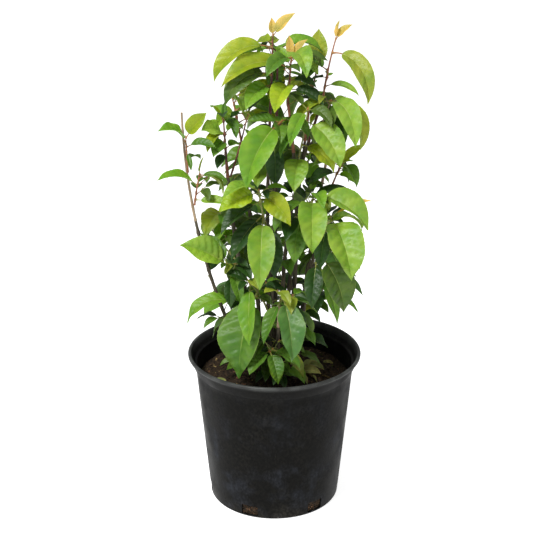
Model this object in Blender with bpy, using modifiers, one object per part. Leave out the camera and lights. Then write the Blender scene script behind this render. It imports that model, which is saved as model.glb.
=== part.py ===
"""A nannyberry shrub in a black nursery pot.

Twelve canes rise from one clump in the potting mix. Each is a tapering limb that leans and bows along an
arc. Short boughs leave four of them, and every leafy shoot is one solid: a twig with opposite, drooping
leaves fused on. The pot is turned, with six drain holes cut low in its wall.

Lengths in the tables are millimetres and angles are degrees. A heading of 0 points along +X, and 270 points
along -Y, which is the front. The finished model is in metres, +Z up, with its origin at the middle of the
pot's flat underside.
"""
import math
import random
from collections import namedtuple

import bmesh
import bpy
import numpy as np
from mathutils.bvhtree import BVHTree

MM = 0.001
GAP = 0.3

# The pot
POT_HEIGHT = 216.5
RIM_RADIUS = 120.0
COLLAR_RADIUS = 109.2
BASE_RADIUS = 90.8
COLLAR_DROP = 23.0
BEAD_HEIGHT = 5.0
WALL = 2.0
LEDGE_DROP = 15.0
LEDGE_STEP = 2.5
FLOOR_THICKNESS = 3.0
CORNER = 2.0
COLLAR_NECK = 3.0
COLLAR_SWEEP = 0.8
INNER_FLARE = 1.0
POT_STEPS = 36

# The drain holes
HOLE_COUNT = 6
FIRST_HOLE = 248.0
HOLE_WIDTH = 24.0
HOLE_TOP = 18.5
HOLE_SILL = 2.4
HOLE_REACH = 16.0
HOLE_OVERRUN = 4.0
HOLE_ROUNDING = 1.5

# The potting mix and the clump
SOIL_LEVEL = 178.0
SOIL_STEPS = 32
MIX_CLEARANCE = 0.6
FLARE = 1.5
FLARE_HEIGHT = 5.0

# The plant's own proportions
CANE_STEPS = 9
BOUGH_STEPS = 5
TWIG_STEPS = 4
TWIG_SIDES = 3
TWIG_THINNING = 0.45
ARC_SAMPLES = 41
PETIOLE_SHARE = 0.17
PETIOLE_RADIUS = 0.9
BLADE_RATIO = 0.6
BLADE_THICKNESS = 1.2
BLADE_FOLD = 22.0
BLADE_STATIONS = (0.2, 0.5, 0.82)
BLADE_SKEW = 0.75
BLADE_FULLNESS = 0.85
SMOOTH_BELOW = 50.0

# How far a leaf keeps from other solids, the potting mix, the rim and the pot's wall
CLEARANCE = 0.45
MIX_MARGIN = 2.0
RIM_MARGIN = 1.0
WALL_MARGIN = 6.0

# Leaves that grow by rule: where the pairs start, and the ranges of their length, rise, sag and face
PAIR_START = 0.3
PAIR_WOBBLE = 14.0
RULED_LENGTH = (0.86, 1.1)
RULED_RISE = (20.0, 52.0)
LOWER_RISE = 16.0
RULED_SAG = (78.0, 118.0)
RULED_FACE = (-15.0, 25.0)
SMALLER = 0.72

# Vertices of fused and curved meshes closer than these, in metres, are one vertex
FUSED_WELD = 0.000001
CAP_WELD = 0.00001

# The crown's space for leaves that grow by rule: an ellipse in plan, narrower above the shoulder
CROWN_MIDDLE = (8.0, 6.0)
CROWN_REACH = (116.0, 122.0)
SHOULDER = 480.0
SHOULDER_TAPER = 0.0022
CROWN_TOP = 655.0

# A leaf or twig that would touch another tries these turns of its heading and rise before it is dropped
DODGES = ((0, 0), (8, 0), (-8, 0), (0, 10), (0, -10), (16, 5), (-16, 5), (14, -12), (-14, -12), (24, 0),
          (-24, 0), (8, 20), (-8, 20), (30, 10), (-30, 10))

Limb = namedtuple("Limb", "x y turn rise length sag foot tip")
Bough = namedtuple("Bough", "on at turn rise length sag foot tip")
Shoot = namedtuple("Shoot", "on at turn rise length sag thick pairs leaf_length")
Leaf = namedtuple("Leaf", "at turn rise length sag face wide")
Growth = namedtuple("Growth", "line skins guards blades")

# Each cane: where its foot stands, the arc that it follows, and its two radii
CANES = {
    "cane_cut": Limb(-29, -9, 187, 64, 392, -25, 2.8, 1.3),
    "cane_left": Limb(-15, 4, 190, 76, 312, -10, 3.4, 2.0),
    "cane_mid": Limb(-4, -7, 170, 87, 402, -6, 3.2, 1.7),
    "cane_mid_back": Limb(1, 12, 75, 90, 415, 3, 3.0, 1.6),
    "cane_mid_right": Limb(11, -9, 0, 80, 389, -18, 3.4, 1.8),
    "cane_right": Limb(17, 6, 13, 97, 388, 28, 3.2, 1.7),
    "cane_back_right": Limb(13, 24, 35, 86, 385, 5, 3.0, 1.6),
    "cane_far_right": Limb(28, -6, 355, 85, 283, 10, 3.2, 1.8),
    "cane_back_left": Limb(-17, 20, 134, 86, 320, 6, 3.2, 1.8),
    "cane_back": Limb(-2, 32, 80, 88, 373, 6, 3.2, 1.8),
    "cane_rear_right": Limb(31, 14, 30, 85, 326, 8, 3.2, 1.8),
    "cane_front": Limb(4, -25, 275, 84, 128, 16, 3.0, 2.0),
}

# Each bough: the cane that it leaves, how far up that cane, its arc, and its two radii
BOUGHS = {
    "bough_left": Bough("cane_left", 0.93, 20, 70, 74, -6, 1.4, 0.9),
    "bough_low_left": Bough("cane_left", 0.42, 236, 46, 28, -10, 1.9, 1.3),
    "bough_right": Bough("cane_right", 0.84, 318, 52, 24, -6, 1.9, 1.5),
    "bough_low_right": Bough("cane_far_right", 0.5, 292, 66, 42, 14, 2.0, 1.4),
    "bough_low_back": Bough("cane_back", 0.3, 100, 40, 48, -10, 2.0, 1.4),
}

# Each leafy shoot: the limb that carries it, how far along, its twig's arc and radius, and how many pairs of
# leaves it grows by rule, after the leaves that PLAN gives it
SHOOTS = {
    "leaves_top_left": Shoot("cane_mid", 1.0, 329, 88, 74, 0, 1.5, 1, 60),
    "leaves_top_mid": Shoot("cane_mid_right", 1.0, 338, 86, 60, 0, 1.5, 1, 55),
    "leaves_top_back": Shoot("cane_mid_back", 1.0, 80, 82, 34, 4, 1.4, 3, 70),
    "leaves_top_right": Shoot("cane_right", 1.0, 347, 83, 86, 8, 1.5, 1, 60),
    "leaves_right_back": Shoot("cane_back_right", 1.0, 26, 76, 36, 0, 1.4, 1, 70),
    "leaves_right_mid": Shoot("bough_right", 1.0, 322, 64, 54, -4, 1.3, 2, 60),
    "leaves_right_arm": Shoot("cane_far_right", 1.0, 332, 70, 28, 8, 1.4, 1, 50),
    "leaves_mid_front": Shoot("cane_mid_right", 0.78, 298, 66, 90, -10, 1.4, 2, 60),
    "leaves_left_top": Shoot("cane_left", 1.0, 224, 86, 57, 0, 1.6, 2, 50),
    "leaves_left_arm": Shoot("cane_mid", 0.84, 304, 46, 42, -10, 1.4, 2, 60),
    "leaves_bough_left": Shoot("bough_left", 1.0, 20, 70, 12, 0, 0.9, 1, 32),
    "leaves_cut_cane": Shoot("cane_cut", 0.8, 240, 84, 46, -4, 1.3, 2, 45),
    "leaves_cut_side": Shoot("cane_cut", 0.68, 342, 82, 42, 4, 1.3, 2, 45),
    "leaves_centre": Shoot("cane_mid", 0.54, 255, 50, 74, -20, 1.6, 1, 70),
    "leaves_centre_right": Shoot("cane_mid_right", 0.6, 300, 40, 60, -12, 1.6, 2, 70),
    "leaves_right_low": Shoot("cane_far_right", 0.72, 292, 45, 58, -10, 1.5, 2, 70),
    "leaves_skirt_right": Shoot("bough_low_right", 1.0, 295, 50, 22, 10, 1.3, 0, 70),
    "leaves_skirt_left": Shoot("bough_low_left", 1.0, 222, 58, 24, -5, 1.2, 0, 70),
    "leaves_low_left": Shoot("cane_left", 0.3, 232, 38, 34, 0, 1.2, 0, 60),
    "leaves_skirt_front": Shoot("cane_mid", 0.25, 235, 62, 64, 20, 1.6, 0, 70),
    "leaves_skirt_mid": Shoot("cane_front", 1.0, 285, 60, 26, 20, 1.5, 0, 70),
    "leaves_pot_front": Shoot("cane_front", 0.42, 250, 32, 30, 30, 1.4, 0, 60),
    "leaves_back_left": Shoot("cane_back_left", 1.0, 134, 76, 60, 5, 1.6, 5, 80),
    "leaves_back": Shoot("cane_back", 1.0, 80, 78, 62, 5, 1.6, 5, 80),
    "leaves_rear_right": Shoot("cane_rear_right", 1.0, 30, 72, 60, 5, 1.6, 5, 80),
    "leaves_back_low_left": Shoot("cane_back_left", 0.52, 150, 44, 66, -10, 1.5, 5, 80),
    "leaves_back_low": Shoot("bough_low_back", 1.0, 100, 50, 34, -8, 1.3, 4, 90),
    "leaves_back_mid": Shoot("cane_back", 0.66, 110, 48, 58, -10, 1.5, 5, 80),
    "leaves_rear_low": Shoot("cane_rear_right", 0.45, 350, 46, 66, -10, 1.5, 5, 80),
    "leaves_rear_mid": Shoot("cane_back_right", 0.7, 60, 46, 50, -10, 1.4, 3, 78),
    "leaves_skirt_back": Shoot("cane_back", 0.2, 75, 52, 52, 15, 1.5, 3, 82),
    "leaves_skirt_rear": Shoot("cane_rear_right", 0.22, 42, 50, 48, 15, 1.5, 3, 74),
    "leaves_skirt_back_left": Shoot("cane_back_left", 0.24, 128, 50, 50, 15, 1.5, 3, 82),
    "leaves_left_back": Shoot("cane_left", 0.55, 165, 44, 52, -12, 1.4, 3, 78),
}

# The leaves that make the shrub's front: how far along the twig each one stands, its heading, rise, length
# with the petiole, sag from root to tip, how far its face turns to the front, and its relative width
PLAN = {
    "leaves_top_left": (
        Leaf(0.78, 196, 23, 98, 102, 30, 0.76), Leaf(0.86, 128, 15, 44, 60, 30, 1.1),
        Leaf(0.3, 213, 28, 88, 104, 30, 0.85), Leaf(0.12, 230, 8, 60, 60, 25, 1.1),
        Leaf(0.1, 200, -24, 44, 40, 40, 1.0), Leaf(1.0, 150, 84, 24, 0, 50, 1.1),
        Leaf(1.0, 350, 56, 42, 20, 55, 1.0), Leaf(0.4, 148, 22, 66, 90, 0, 1.0)),
    "leaves_top_mid": (
        Leaf(0.74, 203, 37, 106, 92, 32, 0.7), Leaf(0.9, 290, 62, 76, 138, 14, 1.05),
        Leaf(0.8, 140, 60, 36, 40, 40, 1.0), Leaf(1.0, 130, 84, 30, 0, 50, 1.0),
        Leaf(1.0, 342, 70, 34, 20, 50, 1.0), Leaf(0.4, 250, 14, 62, 80, 10, 1.25),
        Leaf(0.5, 331, 22, 42, 60, 20, 1.0), Leaf(0.3, 340, 10, 54, 60, 20, 1.0)),
    "leaves_top_right": (
        Leaf(1.0, 340, 80, 28, 0, 50, 0.8), Leaf(1.0, 347, 60, 32, 30, 50, 1.0),
        Leaf(0.78, 318, 16, 100, 122, 30, 0.7), Leaf(0.5, 131, 24, 64, 60, 0, 1.0),
        Leaf(0.25, 335, 30, 54, 80, 25, 0.6)),
    "leaves_right_back": (
        Leaf(0.9, 76, 80, 58, 6, 0, 1.2), Leaf(0.3, 100, 16, 60, 80, 0, 1.0),
        Leaf(0.8, 300, 74, 24, 0, 30, 0.9), Leaf(0.2, 124, 4, 74, 80, 0, 1.0)),
    "leaves_right_mid": (
        Leaf(1.0, 337, 3, 87, 116, 30, 0.8), Leaf(0.95, 298, 30, 94, 134, 20, 0.85),
        Leaf(0.6, 315, -4, 40, 50, 20, 1.0), Leaf(0.12, 300, 22, 60, 92, 15, 1.0)),
    "leaves_right_arm": (
        Leaf(0.95, 3, 58, 44, 30, 30, 1.0), Leaf(0.85, 319, 22, 28, 40, 30, 0.6),
        Leaf(0.7, 27, 13, 31, 60, 30, 0.8), Leaf(0.6, 221, 24, 55, 60, 20, 0.9)),
    "leaves_mid_front": (
        Leaf(1.0, 240, -4, 62, 70, 10, 0.85), Leaf(0.2, 262, -4, 64, 56, 5, 1.3),
        Leaf(0.8, 315, 8, 84, 74, 20, 1.1), Leaf(0.4, 325, 8, 62, 74, 15, 1.1)),
    "leaves_left_arm": (
        Leaf(0.97, 232, -12, 108, 66, 26, 1.1), Leaf(0.9, 196, 30, 46, 50, 20, 1.0),
        Leaf(0.4, 200, -30, 72, 50, 30, 0.9), Leaf(0.2, 282, -42, 66, 40, 20, 1.0)),
    "leaves_left_top": (
        Leaf(0.66, 222, 42, 42, 50, 35, 1.7), Leaf(0.5, 248, 12, 40, 64, 20, 1.2),
        Leaf(0.97, 195, 62, 28, 10, 30, 0.8), Leaf(0.97, 80, 76, 26, 10, 30, 0.8),
        Leaf(0.2, 237, -16, 28, 40, 20, 1.3), Leaf(0.3, 30, 24, 46, 80, 10, 1.0)),
    "leaves_cut_cane": (
        Leaf(0.8, 222, 75, 58, 90, 25, 0.9), Leaf(1.0, 5, 60, 44, 20, 50, 1.4),
        Leaf(0.72, 335, 35, 46, 60, 25, 0.9), Leaf(0.6, 295, -41, 28, 30, 0, 0.7),
        Leaf(0.3, 60, 30, 34, 80, 0, 1.0)),
    "leaves_cut_side": (
        Leaf(1.0, 330, 84, 28, 20, 30, 0.8), Leaf(0.85, 346, 45, 46, 100, 20, 0.6),
        Leaf(0.62, 212, 50, 66, 70, 20, 0.8), Leaf(0.14, 335, 8, 53, 12, 30, 0.8),
        Leaf(0.4, 90, 30, 44, 80, 0, 1.0)),
    "leaves_centre": (
        Leaf(0.95, 209, 5, 62, 40, 35, 1.35), Leaf(0.75, 205, -10, 70, 46, 20, 1.0),
        Leaf(0.4, 216, -26, 76, 40, 20, 0.9), Leaf(0.4, 267, -22, 108, 56, 0, 0.9),
        Leaf(0.9, 314, 4, 66, 62, 40, 1.15), Leaf(0.78, 20, 0, 34, 40, 20, 1.0),
        Leaf(0.8, 172, 66, 38, 30, 30, 0.8), Leaf(0.2, 290, -34, 80, 50, 10, 0.9)),
    "leaves_centre_right": (
        Leaf(0.85, 268, 4, 90, 88, 0, 1.2), Leaf(1.0, 334, 9, 89, 68, 15, 1.3),
        Leaf(0.66, 178, 60, 48, 40, 20, 0.8), Leaf(0.25, 250, -34, 72, 50, 20, 1.0)),
    "leaves_right_low": (
        Leaf(0.95, 290, 0, 102, 84, 0, 1.35), Leaf(0.7, 250, -46, 62, 40, 10, 1.0),
        Leaf(0.87, 330, 58, 36, 30, 20, 0.9), Leaf(1.0, 356, 45, 61, 40, 30, 0.5),
        Leaf(0.4, 10, 0, 62, 80, 10, 1.0)),
    "leaves_skirt_right": (
        Leaf(0.9, 308, -27, 85, 60, 12, 1.45), Leaf(0.3, 306, -30, 92, 40, 10, 0.6),
        Leaf(0.3, 268, -28, 70, 50, 10, 0.9)),
    "leaves_skirt_left": (
        Leaf(0.9, 195, 45, 77, 30, 45, 1.4), Leaf(0.6, 300, -28, 50, 50, 25, 0.9),
        Leaf(0.95, 160, 70, 60, 40, 30, 0.9), Leaf(0.4, 262, -36, 50, 40, 10, 0.9)),
    "leaves_low_left": (
        Leaf(1.0, 192, 40, 82, 114, 24, 0.72), Leaf(0.7, 250, -26, 46, 40, 10, 0.9)),
    "leaves_skirt_front": (
        Leaf(0.6, 240, -40, 122, 44, 0, 1.35), Leaf(1.0, 268, -20, 90, 64, -24, 0.8),
        Leaf(0.95, 171, 40, 40, 60, 20, 1.0)),
    "leaves_skirt_mid": (
        Leaf(1.0, 286, -26, 92, 60, 0, 1.1), Leaf(0.6, 236, -32, 66, 40, 0, 0.8),
        Leaf(0.7, 331, -24, 58, 50, 0, 0.9), Leaf(0.4, 20, 10, 60, 70, 0, 1.0)),
    "leaves_pot_front": (
        Leaf(0.9, 226, -4, 48, 50, 0, 1.3), Leaf(0.95, 276, -10, 46, 50, 0, 1.3),
        Leaf(0.7, 325, 4, 52, 50, 0, 1.3), Leaf(0.8, 350, -2, 62, 56, 10, 1.1),
        Leaf(0.5, 204, 14, 42, 50, 20, 1.3), Leaf(1.0, 300, -34, 48, 40, 10, 1.1)),
}


# ---------------------------------------------------------------- scene helpers
def clear_scene():
    for thing in list(bpy.data.objects):
        bpy.data.objects.remove(thing, do_unlink=True)


def new_collection(name):
    collection = bpy.data.collections.new(name)
    bpy.context.scene.collection.children.link(collection)
    return collection


def plain_material(name, colour, roughness):
    material = bpy.data.materials.new(name)
    material.use_nodes = True
    shader = material.node_tree.nodes["Principled BSDF"]
    shader.inputs["Base Color"].default_value = (*colour, 1.0)
    shader.inputs["Roughness"].default_value = roughness
    return material


def mesh_object(name, mesh, collection, material=None):
    thing = bpy.data.objects.new(name, mesh)
    collection.objects.link(thing)
    if material:
        mesh.materials.append(material)
    return thing


def keep_evaluated_mesh(thing):
    """Apply every modifier by taking the evaluated mesh, and drop the modifiers."""
    depsgraph = bpy.context.evaluated_depsgraph_get()
    mesh = bpy.data.meshes.new_from_object(thing.evaluated_get(depsgraph))
    thing.modifiers.clear()
    thing.data = mesh


def show_as_cutter(thing):
    thing.hide_render = True
    thing.display_type = "WIRE"


# ---------------------------------------------------------------- arcs and lofts
def arc(start, turn, rise, length, sag, fractions):
    """Points and directions of a line that leaves start at a heading and a rise, and sags evenly."""
    turn = math.radians(turn)
    steps = np.linspace(0.0, 1.0, ARC_SAMPLES)
    tilt = np.radians(rise - sag * steps)
    ways = np.stack([np.cos(tilt) * math.cos(turn), np.cos(tilt) * math.sin(turn), np.sin(tilt)], axis=1)
    middles = 0.5 * (ways[1:] + ways[:-1]) * length * (steps[1] - steps[0])
    line = np.concatenate([np.zeros((1, 3)), np.cumsum(middles, axis=0)]) + np.asarray(start, float)
    points = np.stack([np.interp(fractions, steps, line[:, axis]) for axis in range(3)], axis=1)
    tilt = np.radians(rise - sag * np.asarray(fractions))
    ways = np.stack([np.cos(tilt) * math.cos(turn), np.cos(tilt) * math.sin(turn), np.sin(tilt)], axis=1)
    return points, ways


def side_way(turn):
    """The level direction to the right of a heading."""
    turn = math.radians(turn)
    return np.array([math.sin(turn), -math.cos(turn), 0.0])


def loft(sections, pointed):
    """Vertices and faces of a closed skin over equal rings, ending in a flat cap or in a point."""
    size = len(sections[0])
    rings = sections[:-1] if pointed else sections
    verts = [tuple(point) for ring in rings for point in ring]
    faces = [tuple(reversed(range(size)))]
    for row in range(len(rings) - 1):
        low = row * size
        for k in range(size):
            after = (k + 1) % size
            faces.append((low + k, low + after, low + size + after, low + size + k))
    last = (len(rings) - 1) * size
    if pointed:
        verts.append(tuple(sections[-1][0]))
        faces += [(last + k, last + (k + 1) % size, last + size) for k in range(size)]
    else:
        faces.append(tuple(range(last, last + size)))
    return verts, faces


def twig_skin(start, turn, rise, length, sag, thick, extra=0.0):
    """A three-sided twig that thins to its tip."""
    fractions = np.linspace(0.0, 1.0, TWIG_STEPS + 1)
    points, ways = arc(start, turn, rise, length, sag, fractions)
    side = side_way(turn)
    sections = []
    for point, way, fraction in zip(points, ways, fractions):
        radius = thick * (1.0 - TWIG_THINNING * fraction) + extra
        over = np.cross(side, way)
        angles = [2.0 * math.pi * k / TWIG_SIDES for k in range(TWIG_SIDES)]
        sections.append([point + radius * (math.cos(a) * over - math.sin(a) * side) for a in angles])
    return loft(sections, pointed=False)


def blade_width(share):
    """Half-width of an ovate blade, as a share of its widest, from root (0) to tip (1)."""
    return math.sin(math.pi * share ** BLADE_SKEW) ** BLADE_FULLNESS


def leaf_skin(start, leaf, extra=0.0):
    """One leaf: a slim petiole that opens into a folded, drooping blade with a pointed tip."""
    blade_start = PETIOLE_SHARE
    fractions = [0.0, blade_start] + [blade_start + (1 - blade_start) * s for s in BLADE_STATIONS] + [1.0]
    points, ways = arc(start, leaf.turn, leaf.rise, leaf.length, leaf.sag, fractions)
    level_side = side_way(leaf.turn)
    front = -1.0 if level_side[1] > 0 else 1.0
    half = 0.5 * BLADE_RATIO * leaf.wide * leaf.length * (1 - blade_start)
    fold = math.radians(BLADE_FOLD)
    sections = []
    for index, (point, way) in enumerate(zip(points, ways)):
        over = np.cross(level_side, way)
        roll = math.radians(leaf.face) * front
        side = level_side * math.cos(roll) - over * math.sin(roll)
        normal = over * math.cos(roll) + level_side * math.sin(roll)
        if index < 2:
            wide, lift, thick = PETIOLE_RADIUS + extra, 0.0, PETIOLE_RADIUS + extra
        else:
            share = ([0.0, 0.0] + list(BLADE_STATIONS) + [1.0])[index]
            spread = half * blade_width(share) + extra
            wide, lift = spread * math.cos(fold), spread * math.sin(fold)
            thick = 0.5 * BLADE_THICKNESS + extra
        sections.append([point + wide * side + lift * normal, point + thick * normal,
                         point - wide * side + lift * normal, point - thick * normal])
    sections[-1] = [points[-1] + ways[-1] * extra]
    return loft(sections, pointed=True)


# ---------------------------------------------------------------- limbs
def limb_object(name, points, radii, collection, material):
    """A tapering round limb: a curve with a bevel, made a mesh with its caps welded on."""
    curve = bpy.data.curves.new(name, "CURVE")
    curve.dimensions = "3D"
    curve.bevel_depth = MM
    curve.bevel_resolution = 1
    curve.use_fill_caps = True
    spline = curve.splines.new("POLY")
    spline.points.add(len(points) - 1)
    for knot, point, radius in zip(spline.points, points, radii):
        knot.co = (*(np.asarray(point) * MM), 1.0)
        knot.radius = radius
    guide = bpy.data.objects.new(name + "_guide", curve)
    collection.objects.link(guide)
    depsgraph = bpy.context.evaluated_depsgraph_get()
    mesh = bpy.data.meshes.new_from_object(guide.evaluated_get(depsgraph))
    bpy.data.objects.remove(guide, do_unlink=True)
    shape = bmesh.new()
    shape.from_mesh(mesh)
    bmesh.ops.remove_doubles(shape, verts=shape.verts, dist=CAP_WELD)
    bmesh.ops.recalc_face_normals(shape, faces=shape.faces)
    shape.to_mesh(mesh)
    shape.free()
    mesh.name = name
    mesh.shade_smooth()
    mesh.set_sharp_from_angle(angle=math.radians(SMOOTH_BELOW))
    return mesh_object(name, mesh, collection, material)


def cane_line(cane):
    """Points and radii of a cane, from its flat, flared foot on the potting mix to its tip."""
    foot = np.array([cane.x, cane.y, SOIL_LEVEL + GAP])
    crown = foot + np.array([0.0, 0.0, FLARE_HEIGHT])
    fractions = np.linspace(0.0, 1.0, CANE_STEPS + 1)
    points, _ = arc(crown, cane.turn, cane.rise, cane.length, cane.sag, fractions)
    radii = cane.foot + (cane.tip - cane.foot) * fractions
    return np.vstack([foot, points]), np.concatenate([[cane.foot * FLARE], radii])


def place_on(limb_arc, at):
    """Point, direction and radius on a carrying limb, at a share of its length."""
    start, turn, rise, length, sag, foot, tip = limb_arc
    points, ways = arc(start, turn, rise, length, sag, [at])
    return points[0], ways[0], foot + (tip - foot) * at


def start_clear_of(limb_arc, at, turn, rise, thick):
    """Where a twig or bough starts: a hair beyond a limb's tip, or a hair off its side."""
    point, way, radius = place_on(limb_arc, at)
    out = arc((0, 0, 0), turn, rise, 1.0, 0.0, [0.0])[1][0]
    if at >= 1.0:
        lean = math.sqrt(max(0.0, 1.0 - float(np.dot(out, way)) ** 2))
        return point + way * (GAP + thick * lean)
    level = out - way * float(np.dot(out, way))
    level /= np.linalg.norm(level)
    slant = math.sqrt(max(0.0, 1.0 - float(np.dot(out, level)) ** 2))
    return point + level * (radius + GAP + thick * slant)


def grow_limbs(collection, material):
    """Make the canes and boughs. Return each one's arc, for what it carries, and its skin."""
    arcs = {}
    skins = []
    for name, cane in CANES.items():
        points, radii = cane_line(cane)
        thing = limb_object(name, points, radii, collection, material)
        arcs[name] = (points[1], cane.turn, cane.rise, cane.length, cane.sag, cane.foot, cane.tip)
        skins.append(tree_of_mesh(thing.data))
    for name, bough in BOUGHS.items():
        start = start_clear_of(arcs[bough.on], bough.at, bough.turn, bough.rise, bough.foot)
        fractions = np.linspace(0.0, 1.0, BOUGH_STEPS + 1)
        points, _ = arc(start, bough.turn, bough.rise, bough.length, bough.sag, fractions)
        radii = bough.foot + (bough.tip - bough.foot) * fractions
        thing = limb_object(name, points, radii, collection, material)
        arcs[name] = (start, bough.turn, bough.rise, bough.length, bough.sag, bough.foot, bough.tip)
        skins.append(tree_of_mesh(thing.data))
    return arcs, skins


# ---------------------------------------------------------------- leafy shoots
def tree_of_mesh(mesh):
    verts = [vertex.co / MM for vertex in mesh.vertices]
    return BVHTree.FromPolygons(verts, [tuple(face.vertices) for face in mesh.polygons])


def tree_of_skin(skin):
    return BVHTree.FromPolygons(*skin)


def touches(skin, others):
    tree = tree_of_skin(skin)
    return any(tree.overlap(other) for other in others)


def ruled_leaves(shoot, chance):
    """Opposite pairs up a twig, each pair crossing the last."""
    first_turn = chance.uniform(0, 180)
    for pair in range(shoot.pairs):
        at = PAIR_START + (1.0 - PAIR_START) * (pair + 1) / shoot.pairs
        for side in (0, 180):
            turn = first_turn + 90 * pair + side + chance.uniform(-PAIR_WOBBLE, PAIR_WOBBLE)
            length = shoot.leaf_length * chance.uniform(*RULED_LENGTH)
            rise = chance.uniform(*RULED_RISE) - LOWER_RISE * (1 - at)
            sag = chance.uniform(*RULED_SAG)
            yield Leaf(at, turn, rise, length, sag, chance.uniform(*RULED_FACE), 1.0)


def leaves_the_crown(skin):
    """Whether a leaf reaches out of the crown's space."""
    for x, y, z in skin[0]:
        narrow = 1.0 - max(0.0, z - SHOULDER) * SHOULDER_TAPER
        across = (x - CROWN_MIDDLE[0]) / CROWN_REACH[0]
        deep = (y - CROWN_MIDDLE[1]) / CROWN_REACH[1]
        if math.hypot(across, deep) > narrow or z > CROWN_TOP:
            return True
    return False


def grow_shoots(arcs, limb_trees):
    """Place every shoot's twig, then the planned leaves, then the ruled ones, each where it keeps clear."""
    grown = {}
    for name, shoot in SHOOTS.items():
        start = start_clear_of(arcs[shoot.on], shoot.at, shoot.turn, shoot.rise, shoot.thick)
        line = (start, shoot.turn, shoot.rise, shoot.length, shoot.sag)
        guard = tree_of_skin(twig_skin(*line, shoot.thick, CLEARANCE))
        grown[name] = Growth(line, [twig_skin(*line, shoot.thick)], [guard], [])
    for name, leaves in PLAN.items():
        for leaf in leaves:
            place_leaf(leaf, name, grown, limb_trees, planned=True)
    for seed, (name, shoot) in enumerate(SHOOTS.items()):
        for leaf in ruled_leaves(shoot, random.Random(seed)):
            place_leaf(leaf, name, grown, limb_trees, planned=False)
    return grown


def place_leaf(leaf, name, grown, limb_trees, planned):
    """Add a leaf to its shoot at the first turn and rise that clear everything round it."""
    own = grown[name]
    root = arc(*own.line, [min(leaf.at, 0.98)])[0][0]
    others = [guard for other, growth in grown.items() if other != name for guard in growth.guards]
    size = leaf.length
    if planned:
        tries = ((own.blades, size), ([], size))
    else:
        tries = ((own.blades, size), (own.blades, size * SMALLER))
    for neighbours, length in tries:
        for turn, rise in DODGES:
            tried = leaf._replace(turn=leaf.turn + turn, rise=leaf.rise + rise, length=length)
            skin = leaf_skin(root, tried, CLEARANCE)
            if lowest(skin) < SOIL_LEVEL + MIX_MARGIN or touches_pot(skin):
                continue
            if not planned and leaves_the_crown(skin):
                continue
            if touches(skin, limb_trees + others) or touches(outer_blade(skin), neighbours):
                continue
            own.skins.append(leaf_skin(root, tried))
            own.guards.append(tree_of_skin(skin))
            own.blades.append(tree_of_skin(outer_blade(skin)))
            return True
    return False


def outer_blade(skin):
    """A leaf's skin beyond its first blade station, to test against its neighbours on the twig."""
    verts, faces = skin
    return verts, [face for face in faces if min(face) >= 8]


def lowest(skin):
    return min(vert[2] for vert in skin[0])


def touches_pot(skin):
    """Whether a leaf droops through the pot. One that reaches over the rim clears it."""
    for x, y, z in skin[0]:
        if z < POT_HEIGHT + RIM_MARGIN and math.hypot(x, y) > COLLAR_RADIUS - WALL_MARGIN:
            return True
    return False


def skin_object(name, skin, collection):
    mesh = bpy.data.meshes.new(name)
    verts, faces = skin
    mesh.from_pydata([tuple(np.asarray(vert) * MM) for vert in verts], [], faces)
    shape = bmesh.new()
    shape.from_mesh(mesh)
    bmesh.ops.recalc_face_normals(shape, faces=shape.faces)
    shape.to_mesh(mesh)
    shape.free()
    return mesh_object(name, mesh, collection)


def fuse_shoot(name, skins, collection, material):
    """Join a twig and its leaves into one closed solid, and keep only its main body."""
    pieces = bpy.data.collections.new(name + "_pieces")
    bpy.context.scene.collection.children.link(pieces)
    for number, skin in enumerate(skins[1:]):
        skin_object(f"{name}_leaf_{number}", skin, pieces)
    shoot = skin_object(name, skins[0], collection)
    if pieces.objects:
        union = shoot.modifiers.new("fuse", "BOOLEAN")
        union.operation = "UNION"
        union.solver = "MANIFOLD"
        union.operand_type = "COLLECTION"
        union.collection = pieces
        keep_evaluated_mesh(shoot)
    for piece in list(pieces.objects):
        bpy.data.objects.remove(piece, do_unlink=True)
    bpy.data.collections.remove(pieces)
    keep_main_body(shoot.data)
    shoot.data.name = name
    shoot.data.materials.clear()
    shoot.data.materials.append(material)
    return shoot


def keep_main_body(mesh):
    """Weld a fused mesh and delete every loose scrap and sealed hollow beside its largest shell."""
    shape = bmesh.new()
    shape.from_mesh(mesh)
    bmesh.ops.remove_doubles(shape, verts=shape.verts, dist=FUSED_WELD)
    bmesh.ops.triangulate(shape, faces=shape.faces)
    waiting = set(shape.faces)
    bodies = []
    while waiting:
        stack = [waiting.pop()]
        body = list(stack)
        while stack:
            for edge in stack.pop().edges:
                for face in edge.link_faces:
                    if face in waiting:
                        waiting.remove(face)
                        stack.append(face)
                        body.append(face)
        bodies.append(body)
    bodies.sort(key=len)
    for scrap in bodies[:-1]:
        bmesh.ops.delete(shape, geom=scrap, context="FACES")
    shape.to_mesh(mesh)
    shape.free()


# ---------------------------------------------------------------- pot and potting mix
def wall_radius(height):
    """Outer radius of the straight wall at a height."""
    share = height / (POT_HEIGHT - COLLAR_DROP)
    return BASE_RADIUS + (COLLAR_RADIUS - BASE_RADIUS) * share


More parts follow.
